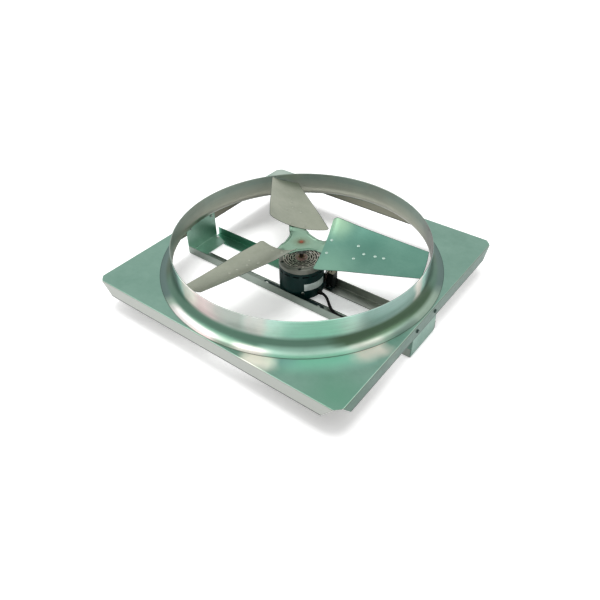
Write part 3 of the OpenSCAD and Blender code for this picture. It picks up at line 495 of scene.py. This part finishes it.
# thin sheets seen edge on, as bands about 1 mm apart at this scale of the wave
stackLook = {"face": (0.06, 0.06, 0.065), "gap": (0.02, 0.02, 0.022), "wave": 320.0}


def laminations():
    look = stackLook
    f = Finish("laminatedSteel")
    sockets = {"Vector": f.place(), "Scale": look["wave"], "Distortion": 0.0}
    stack = f.node("TexWave", {"bands_direction": "Z"}, sockets)
    return f.done(**{
        "Base Color": f.mix(stack, look["face"], look["gap"]), "Metallic": 1.0, "Roughness": 0.45,
        "Normal": f.bump(stack, 0.0001, 0.5)})


def paint(name, colour, dust, gloss, speck=0.0015, metal=0.0, shine=0.5, depth=0.00003):
    # a plain coloured surface with fine specks, dust in patches and a slight texture
    f = Finish(name)
    grain = f.noise(speck, 3, 0.6)
    patch = f.noise(0.035, 3, 0.6).above(0.42, 0.3)
    return f.done(**{
        "Base Color": f.mix(patch * 0.5 + grain * 0.25, colour, dust), "Metallic": metal,
        "Roughness": gloss + patch * 0.12 + grain * 0.06, "Specular IOR Level": shine,
        "Normal": f.bump(grain, depth, 0.6)})


# Plain surfaces: colour, the colour of their dust, roughness, and what else differs
paints = {
    "zinc": ((0.62, 0.66, 0.62), (0.45, 0.50, 0.46), 0.25, {"metal": 1.0}),
    "darkBolt": ((0.06, 0.10, 0.09), (0.10, 0.14, 0.12), 0.40, {"metal": 0.8}),
    "motorEnamel": ((0.002, 0.024, 0.022), (0.006, 0.036, 0.033), 0.34, {"shine": 0.14}),
    "strapEnamel": ((0.006, 0.016, 0.016), (0.02, 0.035, 0.035), 0.42, {"shine": 0.2}),
    "copper": ((0.45, 0.16, 0.05), (0.25, 0.08, 0.03), 0.35, {"metal": 0.9}),
    "varnish": ((0.004, 0.003, 0.002), (0.008, 0.006, 0.005), 0.55, {"shine": 0.1, "depth": 0.0002}),
    "bronze": ((0.42, 0.28, 0.12), (0.25, 0.17, 0.08), 0.40, {"metal": 1.0}),
    "collar": ((0.20, 0.21, 0.20), (0.10, 0.11, 0.10), 0.38, {"metal": 1.0}),
    "foil": ((0.84, 0.93, 0.90), (0.52, 0.62, 0.59), 0.34, {"speck": 0.003, "metal": 0.25}),
    "cordRubber": ((0.004, 0.004, 0.004), (0.008, 0.008, 0.008), 0.55, {"speck": 0.0008, "shine": 0.15}),
    "grommetRubber": ((0.006, 0.006, 0.006), (0.015, 0.015, 0.015), 0.55, {"shine": 0.15}),
    "capacitorBox": ((0.006, 0.009, 0.009), (0.015, 0.018, 0.018), 0.38, {"shine": 0.2}),
    "resin": ((0.34, 0.31, 0.22), (0.16, 0.15, 0.11), 0.42, {"depth": 0.0002}),
    "leadWire": ((0.030, 0.014, 0.010), (0.05, 0.03, 0.02), 0.40, {}),
    "blackWire": ((0.010, 0.010, 0.010), (0.02, 0.02, 0.02), 0.40, {}),
    "greenWire": ((0.020, 0.200, 0.080), (0.03, 0.15, 0.07), 0.40, {}),
    "whiteWire": ((0.700, 0.700, 0.670), (0.60, 0.60, 0.56), 0.40, {}),
}
nodeFinish = {
    "panel": "panelSheet", "venturi_ring": "ringSheet", "rail_front": "railSheet",
    "rail_back": "railSheet", "bracket_left": "paintedLightBracketSheet", "bracket_right": "bracketSheet",
    "flange_screws": "darkBolt", "flange_nuts": "zinc", "rail_screws": "zinc",
    "mounting_strap_front": "strapEnamel", "mounting_strap_back": "strapEnamel", "strap_screws": "zinc",
    "motor_shell": "motorEnamel", "ground_screw": "zinc", "upper_end_bell": "bellCasting",
    "lower_end_bell": "motorEnamel", "through_bolts": "darkBolt", "stator_core": "laminated",
    "stator_windings": "varnish", "upper_bushing": "bronze", "lower_bushing": "bronze",
    "nameplate": "foil", "cord_grommet": "grommetRubber", "lead_grommet": "grommetRubber",
    "run_capacitor": "capacitorBox", "capacitor_seal": "resin", "capacitor_screw": "zinc",
    "capacitor_leads": "leadWire", "motor_cord": "cordRubber", "cord_conductors": "leadWire",
    "motor_shaft": "shaft", "rotor_core": "laminated", "thrust_washers": "zinc",
    "hub_collar": "collar", "set_screw": "darkBolt", "spider": "spiderSheet",
    "hub_rivets": "spiderSheet", "blade_1": "paintedReflectionBladeSheet", "blade_2": "bladeSheet",
    "blade_3": "bladeSheet", "blade_rivets": "rivetSteel",
}

print("materials")
finishes = {name: sheetMetal(name) for name in sheetMetals}
finishes["ringSheet"] = ringMetal()
finishes["rivetSteel"] = rivetMetal()
finishes["shaft"] = rustyShaft()
finishes["bellCasting"] = bellMetal()
finishes["laminated"] = laminations()
for name, (colour, dust, gloss, others) in paints.items():
    finishes[name] = paint(name, colour, dust, gloss, **others)
for name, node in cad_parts.items():
    node.data.materials.clear()
    node.data.materials.append(finishes[nodeFinish[name]])


# Every piece is made where it stands at rest, in metres, so its object stays at the origin
def addPiece(name, points, faces, finish, body, crease=35, replaced=()):
    mesh = bpy.data.meshes.new(name)
    mesh.from_pydata(np.asarray(points).tolist(), [], [list(map(int, face)) for face in faces])
    mesh.polygons.foreach_set("use_smooth", [True] * len(mesh.polygons))
    mesh.set_sharp_from_angle(angle=radians(crease))
    mesh.materials.append(finishes[finish])
    piece = bpy.data.objects.new(name, mesh)
    bpy.context.scene.collection.objects.link(piece)
    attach(piece, body)
    if replaced:
        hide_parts(*replaced)
    return piece


def markPiece(piece, name, values):
    # a number at every point of a mesh, for its material
    mark = piece.data.attributes.new(name, "FLOAT", "POINT")
    mark.data.foreach_set("value", np.asarray(values, dtype=np.float32))


def gridFaces(rows, columns, first=0, flip=False):
    # quads of a grid whose points are listed row by row, columns to the left of the rows' way
    i, j = np.meshgrid(np.arange(rows - 1), np.arange(columns - 1), indexing="ij")
    a = first + (i * columns + j).ravel()
    quads = np.stack([a, a + columns, a + columns + 1, a + 1], axis=1)
    return quads[:, ::-1] if flip else quads


def thickSheet(upper, lower):
    # a closed sheet between two grids of points with the same rows and columns
    rows, columns = upper.shape[:2]
    count = rows * columns
    index = np.arange(count).reshape(rows, columns)
    rim = np.concatenate([index[0, :-1], index[:-1, -1], index[-1, :0:-1], index[:0:-1, 0]])
    after = np.roll(rim, -1)
    sides = np.stack([rim, after, after + count, rim + count], axis=1)
    faces = np.concatenate([gridFaces(rows, columns), gridFaces(rows, columns, count, True), sides])
    return np.concatenate([upper.reshape(-1, 3), lower.reshape(-1, 3)]), faces


ringShape = {
    "inner": 0.3905, "sheet": 0.0012, "foot": 0.112, "rim": 0.2026, "flare": 0.040, "lap": 0.003,
    "bead": 0.0018, "beadPast": 0.84,   # radians that the bead runs on past its half circle
    "columns": 400, "flareSteps": 30, "wallSteps": 8, "beadSteps": 18,
}


def ringProfile():
    # radius and height round the ring's wall: lap, quarter circle, straight wall and a
    # round bead outside, then the same way back inside, 1 sheet thickness nearer the axis
    s = ringShape
    outer = s["inner"] + s["sheet"]
    middle, low = outer + s["flare"], s["foot"] + s["sheet"]
    bendTop, edge = low + s["flare"], middle + s["lap"]
    beadMiddle = s["rim"] - s["bead"]
    turn = np.linspace(pi / 2, 0, s["flareSteps"])
    quarter = np.stack([middle - s["flare"] * np.cos(turn), low + s["flare"] * (1 - np.sin(turn))], axis=1)
    wall = np.linspace(bendTop, beadMiddle - s["bead"], s["wallSteps"])[1:]
    around = np.linspace(-pi / 2, pi + s["beadPast"], s["beadSteps"])[1:]
    bead = np.stack([outer + s["bead"] * np.cos(around), beadMiddle + s["bead"] * np.sin(around)], axis=1)
    back = turn[::-1]
    under = s["flare"] + s["sheet"]
    quarterBack = np.stack([middle - under * np.cos(back), bendTop - under * np.sin(back)], axis=1)
    wallBack = np.linspace(beadMiddle - s["bead"], bendTop, s["wallSteps"])[:-1]
    outside = np.vstack([[edge, low], quarter, np.stack([np.full(len(wall), outer), wall], axis=1)])
    straightBack = np.stack([np.full(len(wallBack), s["inner"]), wallBack], axis=1)
    inside = np.vstack([straightBack, quarterBack, [edge, s["foot"]]])
    return outside, bead, inside


def lengthAlong(line):
    # the distance covered at each point of a line
    return np.concatenate([[0], np.cumsum(np.linalg.norm(np.diff(line, axis=0), axis=1))])


def ringPiece():
    # the profile carried round the axis, closed both ways
    columns = ringShape["columns"]
    outside, bead, inside = ringProfile()
    profile = np.vstack([outside, bead, inside])
    rows = len(profile)
    angle = np.linspace(0, tau, columns, endpoint=False)
    points = np.stack([
        profile[:, :1] * np.cos(angle), profile[:, :1] * np.sin(angle),
        np.repeat(profile[:, 1:], columns, axis=1)], axis=-1).reshape(-1, 3)
    i, j = np.meshgrid(np.arange(rows), np.arange(columns), indexing="ij")
    below, above, after = i * columns, (i + 1) % rows * columns, (j + 1) % columns
    faces = np.stack([below + j, below + after, above + after, above + j], axis=-1).reshape(-1, 4)
    ring = addPiece("venturiRing", points, faces, "ringSheet", housing, replaced=["venturi_ring"])
    # for the material: the distance up the profile, and which points are the inner wall's
    up, down = lengthAlong(outside), lengthAlong(inside[::-1])[::-1]
    place = np.concatenate([up, np.full(len(bead), up[-1]), down])
    outerCount = len(outside) + len(bead) // 2
    within = np.arange(rows) >= outerCount
    markPiece(ring, "profilePlace", np.repeat(place, columns))
    markPiece(ring, "inside", np.repeat(within, columns))


bladeShape = {
    "pitch": 18.3, "camber": 0.270, "sheet": 0.0012, "height": 0.182, "azimuth": bladeAzimuth,
    # distances along the blade, and the pitch that is added there
    "twist": ((0.0745, 3.0), (0.084, 2.46), (0.096, 2.46), (0.160, 0.0)),
    "root": 0.0745, "rootHalf": 0.1005, "tip": 0.381, "tipHalf": 0.047, "tipShift": 0.0045,
    "corners": (0.010, 0.016), "tipHalfAt": 0.384,   # where the blade is twice tipHalf wide
    # the grid: columns and a cut edge's share of the width, rows in the rounded corners, then
    # rows to straightTo, and the steps from there to the circle of the tips
    "columns": 49, "cutShare": 0.011, "cornerRows": 11, "straightFrom": 0.022, "straightTo": 0.350,
    "rows": 34, "tipRow": 0.378, "tipSteps": (0.25, 0.5, 0.75, 0.95, 1.0),
}


def rolledSurface(r, w, depth=0.0):
    # the upper face of a blade, depth below it: a sheet rolled to an arc across its width,
    # pitched about its long axis, with a little more pitch towards the root
    b = bladeShape
    pitch = np.radians(b["pitch"] + np.interp(r, *zip(*b["twist"])))
    rise = b["camber"] - np.sqrt(b["camber"] ** 2 - w ** 2) - depth
    across = w * np.cos(pitch) - rise * np.sin(pitch)
    return np.stack([r, across, w * np.sin(pitch) + rise * np.cos(pitch)], axis=-1)


def turned(points, degrees, height=0.0):
    # turned round the axis and lifted
    c, s = cos(radians(degrees)), sin(radians(degrees))
    x, y, z = points[..., 0], points[..., 1], points[..., 2]
    return np.stack([x * c - y * s, x * s + y * c, z + height], axis=-1)


def bladeOutline(r):
    # lowest and highest place across the blade at each distance along it: straight edges
    # from root to tip, each rounded off where it meets the root's edge
    b = bladeShape
    share = (r - b["root"]) / (b["tipHalfAt"] - b["root"])
    limits = []
    for side, corner in zip((-1, 1), b["corners"]):
        edge = side * (b["rootHalf"] + (b["tipHalf"] - b["rootHalf"]) * share) + b["tipShift"] * share
        inside = np.clip(corner - (r - b["root"]), 0, corner)
        limits.append(edge - side * (corner - np.sqrt(corner ** 2 - inside ** 2)))
    return limits


def bladePiece(number, finish):
    b = bladeShape
    bends = b["corners"][1] * (1 - np.cos(np.linspace(0, pi / 2, b["cornerRows"])))
    straight = np.linspace(b["root"] + b["straightFrom"], b["straightTo"], b["rows"])
    along = np.concatenate([b["root"] + bends, straight])
    low, high = bladeOutline(along)
    # one narrow column beside each cut edge carries the edge's painted shade
    cut = b["cutShare"]
    across = np.concatenate([[0, cut], np.linspace(2 * cut, 1 - 2 * cut, b["columns"] - 4), [1 - cut, 1]])
    w = low[:, None] + (high - low)[:, None] * across
    r = np.repeat(along[:, None], b["columns"], axis=1)
    # the last rows run out to the circle that the tips turn in
    lowEnd, highEnd = bladeOutline(np.array([b["tipRow"]]))
    wEnd = lowEnd + (highEnd - lowEnd) * across
    rEnd = np.sqrt(b["tip"] ** 2 - (wEnd * cos(radians(b["pitch"]))) ** 2)
    lastR, lastW = r[-1], w[-1]
    for share in b["tipSteps"]:
        r = np.vstack([r, lastR * (1 - share) + rEnd * share])
        w = np.vstack([w, lastW * (1 - share) + wEnd * share])
    degrees = b["azimuth"] + 120 * (number - 1)
    upper = turned(rolledSurface(r, w), degrees, b["height"])
    lower = turned(rolledSurface(r, w, b["sheet"]), degrees, b["height"])
    points, faces = thickSheet(upper, lower)
    replaced = ["blade_%d" % number]
    blade = addPiece("fanBlade%d" % number, points, faces, finish, rotor, replaced=replaced)
    edge = np.zeros(r.shape)
    edge[:, [0, -1]] = edge[[0, -1], :] = 1
    markPiece(blade, "edge", np.tile(edge.ravel(), 2))


spiderShape = {
    "hub": 0.046, "arm": 0.028, "top": 0.178, "sheet": 0.002, "bore": 0.0065, "seat": 0.00125,
    # the pressed rib: its height, its place and width as shares of the plate's size, where on
    # the arm it has faded out and over what length; painted shade lies in its valley a little further out
    "rib": 0.0018, "ribPlace": 0.80, "ribWidth": 0.04, "ribEnds": 0.072, "ribFades": 0.014,
    "creaseOffset": 0.06, "creaseWidth": 0.035,
    # an arm turns to the blade's pitch between these distances, later on its raised side
    "turnFrom": 0.053, "turnTo": 0.073, "fromLater": 0.009, "toLater": 0.011, "raisedFrom": 0.018,
    # distances along an arm and its half width there, then its rounded end
    "halfWidths": ((0.0553, 0.0284), (0.090, 0.028), (0.178, 0.0318), (0.266, 0.0155)),
    "reach": 0.274, "endRound": 0.012, "endHalf": 0.0135, "endFlat": 0.002,
    # the grid: the plate runs to join, and the arm goes on from there
    "join": 0.050, "plateRows": 37, "sideColumns": 12, "armColumns": 25,
    "turnRows": 34, "turnRowsTo": 0.100, "armFrom": 0.105, "armRows": 30, "endRows": 7,
}


def hollowEdge(angle):
    # distance of the hub plate's edge from the axis: arms joined by hollow curves
    s = spiderShape
    side = s["arm"] / np.maximum(np.abs(np.sin(angle)), 0.05)
    return (s["hub"] ** 6 + side ** 6) ** (1 / 6)


def plateShare(x, w):
    # how far out a point of the hub plate is: 0 in the middle and 1 on its hollow edge
    s = spiderShape
    return ((np.hypot(x, w) / s["hub"]) ** -6 + (np.abs(w) / s["arm"] + 1e-6) ** -6) ** (-1 / 6)


def ribFade(x):
    s = spiderShape
    return np.clip((s["ribEnds"] - x) / s["ribFades"], 0, 1)


def ribHeight(x, w):
    # a pressed rib that runs along the hollow edges and fades out on the arms
    s, fade = spiderShape, ribFade(x)
    bell = np.exp(-((plateShare(x, w) - s["ribPlace"]) / s["ribWidth"]) ** 2)
    return s["rib"] * bell * fade ** 2 * (3 - 2 * fade)


def creaseHere(x, w):
    # 1 in the valley on the outer side of the pressed rib, where shade is painted, fading to 0 off it
    s = spiderShape
    away = plateShare(x, w) - s["ribPlace"] - s["creaseOffset"]
    return np.exp(-(away / s["creaseWidth"]) ** 2) * ribFade(x)


def armSurface(x, w):
    # flat in the hub plate, then turned to the blade's pitch, later on the raised side
    s = spiderShape
    late = np.clip(w / s["raisedFrom"], 0, 1)
    start, end = s["turnFrom"] + s["fromLater"] * late, s["turnTo"] + s["toLater"] * late
    turn = np.clip((x - start) / (end - start), 0, 1)
    turn = turn ** 2 * (3 - 2 * turn)
    rise = s["top"] - bladeShape["height"] + ribHeight(x, w)
    flat = np.stack([x, w, rise], axis=-1)
    risen = rolledSurface(x, w, s["seat"])
    return flat * (1 - turn)[..., None] + risen * turn[..., None]


def armHalfWidth(x):
    # from the hub plate's hollow edge, along a parallel arm, to a rounded and tapered end
    s = spiderShape
    places, halves = zip(*s["halfWidths"])
    endFrom = s["reach"] - s["endRound"]
    angle = np.radians(np.linspace(60, 25, 60))
    hollow = hollowEdge(angle)
    outline = np.interp(x, places, halves)
    tipRound = s["endHalf"] * np.sqrt(np.clip(1 - ((x - endFrom) / s["endRound"]) ** 2, 0, 1))
    outline = np.where(x > endFrom, np.minimum(outline, tipRound + s["endFlat"]), outline)
    return np.where(x < places[0], np.interp(x, hollow * np.cos(angle), hollow * np.sin(angle)), outline)


def spiderGrids():
    # places along and across one third of the plate, and those of its arm
    s = spiderShape
    side, across = s["sideColumns"], s["armColumns"]
    middle = slice(side, side + across)
    joinAngle = np.arctan2(float(armHalfWidth(np.array(s["join"]))), s["join"])
    angles = np.concatenate([
        np.linspace(-pi / 3, -joinAngle, side + 1)[:-1], np.linspace(-joinAngle, joinAngle, across),
        np.linspace(joinAngle, pi / 3, side + 1)[1:]])
    reach = hollowEdge(angles)
    reach[middle] = s["join"] / np.cos(angles[middle])
    radius = s["bore"] + (reach - s["bore"]) * np.linspace(0, 1, s["plateRows"])[:, None]
    plateX, plateW = radius * np.cos(angles), radius * np.sin(angles)
    endFrom = s["reach"] - s["endRound"]
    armX = np.concatenate([
        np.linspace(s["join"], s["turnRowsTo"], s["turnRows"])[1:],
        np.linspace(s["armFrom"], endFrom, s["armRows"]),
        endFrom + s["endRound"] * np.sin(np.linspace(0, pi / 2, s["endRows"]))[1:]])
    joined = plateW[-1, middle]
    armW = armHalfWidth(armX)[:, None] * (joined / joined[-1])[None, :]
    return (plateX, plateW), (np.repeat(armX[:, None], across, axis=1), armW), middle


def spiderPiece():
    s = spiderShape
    plateGrid, armGrid, middle = spiderGrids()
    creased = [creaseHere(*plateGrid), creaseHere(*armGrid)]
    creased[1] = np.vstack([creased[0][-1:, middle], creased[1]])
    edges = [np.zeros(c.shape) for c in creased]
    edges[0][-1, :middle.start] = edges[0][-1, middle.stop:] = 1
    edges[1][:, [0, -1]] = edges[1][-1] = 1
    points, faces, marks, first = [], [], [], 0
    for k in range(3):
        degrees = bladeShape["azimuth"] + 120 * k
        plate = turned(armSurface(*plateGrid), degrees, bladeShape["height"])
        arm = turned(armSurface(*armGrid), degrees, bladeShape["height"])
        arm = np.concatenate([plate[-1:, middle], arm])
        for block, crease, edge in zip((plate, arm), creased, edges):
            points.append(block.reshape(-1, 3))
            marks.append(np.stack([crease.ravel(), edge.ravel()]))
            faces.append(gridFaces(block.shape[0], block.shape[1], first))
            first += block.shape[0] * block.shape[1]
    points, faces, marks = np.concatenate(points), np.concatenate(faces), np.concatenate(marks, axis=1)
    # points that the blocks share become one
    rounded = np.round(points / 2e-6).astype(np.int64)
    keep, merged = np.unique(rounded, axis=0, return_index=True, return_inverse=True)[1:]
    piece = addPiece(
        "spiderPlate", points[keep], merged.ravel()[faces], "spiderSheet", rotor, crease=60,
        replaced=["spider"])
    markPiece(piece, "crease", marks[0, keep])
    markPiece(piece, "edge", marks[1, keep])
    thick = piece.modifiers.new("sheetThickness", "SOLIDIFY")
    thick.thickness = s["sheet"]
    thick.offset = -1


# The motor cord: out of the shell, down over the rail's lip and along the channel
cordShape = {
    "azimuth": -5.0, "start": 0.065, "height": 0.021, "diameter": 0.009, "sides": 20,
    "gap": 0.002, "easing": 20, "held": 4,
    "wire": 0.00125, "wireSides": 14, "strand": 0.0008, "strandSides": 10,
}


def cordRoute():
    c = cordShape
    out = np.array([cos(radians(c["azimuth"])), sin(radians(c["azimuth"])), 0])
    start = out * c["start"] + np.array([0, 0, c["height"]])
    straight = [start + out * step for step in (0, 0.011, 0.022, 0.028)]
    lying = np.array([
        [105, -12.5, 18.6], [118, -22, 15], [131, -33, 11.8], [144, -42, 9.2], [158, -48, 7.2],
        [173, -50.5, 6.2], [192, -49, 6.2], [216, -46, 6.2], [242, -47, 6.2], [268, -51, 6.2],
        [294, -54, 6.2], [320, -55, 6.2]]) / 1000
    return np.vstack([straight, lying])


def smoothPath(points, steps):
    # a curve through the points, whose direction at each one follows its neighbours
    padded = np.vstack([2 * points[0] - points[1], points, 2 * points[-1] - points[-2]])
    t = np.linspace(0, 1, steps, endpoint=False)[:, None]
    stretches = []
    for a, b, c, d in zip(padded, padded[1:], padded[2:], padded[3:]):
        cubic = (3 * b - a - 3 * c + d) * t ** 3
        stretches.append(0.5 * (2 * b + (c - a) * t + (2 * a - 5 * b + 4 * c - d) * t ** 2 + cubic))
    return np.vstack(stretches + [points[-1:]])


def easedPath(path, gap, passes, held):
    # the same path in even steps, each pass moving every point halfway to the middle of its
    # neighbours, apart from the first ones, which the grommet holds, and the last
    along = lengthAlong(path)
    steps = np.linspace(0, along[-1], int(along[-1] / gap) + 1)
    eased = np.stack([np.interp(steps, along, path[:, k]) for k in range(3)], axis=1)
    for _ in range(passes):
        eased[held:-1] = (eased[held - 1:-2] + 2 * eased[held:-1] + eased[held + 1:]) / 4
    return eased


def tubeMesh(path, radius, sides):
    # rings square to the path, their first point kept level; both ends closed
    ahead = np.gradient(path, axis=0)
    ahead /= np.linalg.norm(ahead, axis=1, keepdims=True)
    side = np.cross(ahead, [0, 0, 1.0])
    side /= np.linalg.norm(side, axis=1, keepdims=True)
    above = np.cross(side, ahead)
    angle = np.linspace(0, tau, sides, endpoint=False)
    ring = side[:, None] * np.cos(angle)[:, None] + above[:, None] * np.sin(angle)[:, None]
    points = (path[:, None] + radius * ring).reshape(-1, 3)
    i, k = np.meshgrid(np.arange(len(path) - 1), np.arange(sides), indexing="ij")
    a, b = (i * sides + k).ravel(), (i * sides + (k + 1) % sides).ravel()
    faces = np.stack([a, b, b + sides, a + sides], axis=1)[:, ::-1].tolist()
    last = (len(path) - 1) * sides
    faces += [list(range(sides)), list(range(last + sides - 1, last - 1, -1))]
    return points, faces


def cordWires(end):
    # three wires that spread out behind the sheath's end, each stripped at its own end
    c = cordShape
    wires = []
    for colour, side, lift in (("Black", -1, -0.9), ("Green", 0, 1.6), ("White", 1, -0.9)):
        steps = np.array([
            [0.1, side * 2, lift], [9, side * 2.2, lift], [20, side * 5, lift - 0.6],
            [36, side * 7, -1.2]]) / 1000
        path = smoothPath(end + steps, 6)
        points, faces = tubeMesh(path[:-3], c["wire"], c["wireSides"])
        wires.append(addPiece("cordWire" + colour, points, faces, colour.lower() + "Wire", housing))
        points, faces = tubeMesh(path[-4:], c["strand"], c["strandSides"])
        wires.append(addPiece("cordStrand" + colour, points, faces, "copper", housing))
    return wires


def cordPieces():
    c = cordShape
    route = easedPath(smoothPath(cordRoute(), 12), c["gap"], c["easing"], c["held"])
    points, faces = tubeMesh(route, c["diameter"] / 2, c["sides"])
    cord = addPiece("motorCord", points, faces, "cordRubber", housing, replaced=["motor_cord"])
    wires = cordWires(route[-1])
    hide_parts("cord_conductors")


print("pieces")
cordPieces()
ringPiece()
for number, finish in ((1, "paintedReflectionBladeSheet"), (2, "bladeSheet"), (3, "bladeSheet")):
    bladePiece(number, finish)
spiderPiece()

# A pale floor, and white surroundings for what the camera and the metal see. The lifts are
# light that the floor gives off to the camera and to mirroring metal.
studio = {
    "floor": 0.90, "ambient": 0.40, "reach": 16.0, "drop": 0.0004, "cameraLift": 0.32, "glossLift": 0.06,
}


def studioFloor():
    reach = studio["reach"]
    corners = [(-reach, -reach), (reach, -reach), (reach, reach), (-reach, reach)]
    mesh = bpy.data.meshes.new("studioFloor")
    mesh.from_pydata([(x, y, -studio["drop"]) for x, y in corners], [], [(0, 1, 2, 3)])
    floor = bpy.data.objects.new("studioFloor", mesh)
    bpy.context.scene.collection.objects.link(floor)
    f = Finish("studioFloor")
    seen, mirrored = (f.node("LightPath", out=name) for name in ("Is Camera Ray", "Is Glossy Ray"))
    lift = seen * studio["cameraLift"] + mirrored * studio["glossLift"]
    mesh.materials.append(f.done(**{
        "Base Color": (studio["floor"],) * 3, "Roughness": 0.9, "Specular IOR Level": 0.0,
        "Emission Color": f.mix(lift, (0, 0, 0), (1, 1, 1)), "Emission Strength": 1.0}))


def studioWorld():
    f = Finish("studioWorld", bpy.data.worlds)
    rays = ("Is Camera Ray", "Is Glossy Ray", "Is Transmission Ray")
    seen, mirrored, through = (f.node("LightPath", out=name) for name in rays)
    white = seen.most(mirrored.most(through))
    strength = f.node("MapRange", {}, {"Value": white, "To Min": studio["ambient"], "To Max": 1.0})
    background = f.node("Background", {}, {"Color": (1, 1, 1), "Strength": strength})
    f.node("OutputWorld", {}, {"Surface": background})
    bpy.context.scene.world = f.owner


# Lamps round the object: compass direction from +X and height above the floor in degrees,
# distance and size in metres, and brightness, where 1 is white paper
softboxes = {
    "leftBox": {"turn": -138, "rise": 54, "away": 2.4, "size": 1.9, "glow": 2.1},
    "rightBox": {"turn": 25, "rise": 50, "away": 2.4, "size": 1.5, "glow": 1.8},
}
# A wide soft light from high above, which only mat surfaces see
skyLight = {"turn": 128, "rise": 88, "away": 3, "spread": 30, "strength": 1.8}


def aimed(lamp, turn, rise, away):
    # hung in that direction and turned to the middle of the scene
    turn, rise = radians(turn), radians(rise)
    toLamp = Vector((cos(turn) * cos(rise), sin(turn) * cos(rise), sin(rise)))
    facing = toLamp.to_track_quat("Z", "Y").to_matrix().to_4x4()
    lamp.matrix_world = Matrix.Translation(toLamp * away) @ facing
    bpy.context.scene.collection.objects.link(lamp)


def softbox(name, turn, rise, away, size, glow):
    data = bpy.data.lights.new(name, "AREA")
    data.shape = "DISK"
    data.size = size
    data.energy = glow * pi * pi * size ** 2 / 4   # brightness times pi times the disc's area
    aimed(bpy.data.objects.new(name, data), turn, rise, away)


def highLight(turn, rise, away, spread, strength):
    data = bpy.data.lights.new("skyLight", "SUN")
    data.angle = radians(spread)
    data.energy = strength
    lamp = bpy.data.objects.new("skyLight", data)
    lamp.visible_glossy = False
    aimed(lamp, turn, rise, away)


print("studio")
studioFloor()
studioWorld()
for name, box in softboxes.items():
    softbox(name, **box)
highLight(**skyLight)
bpy.context.scene.view_settings.view_transform = "Standard"
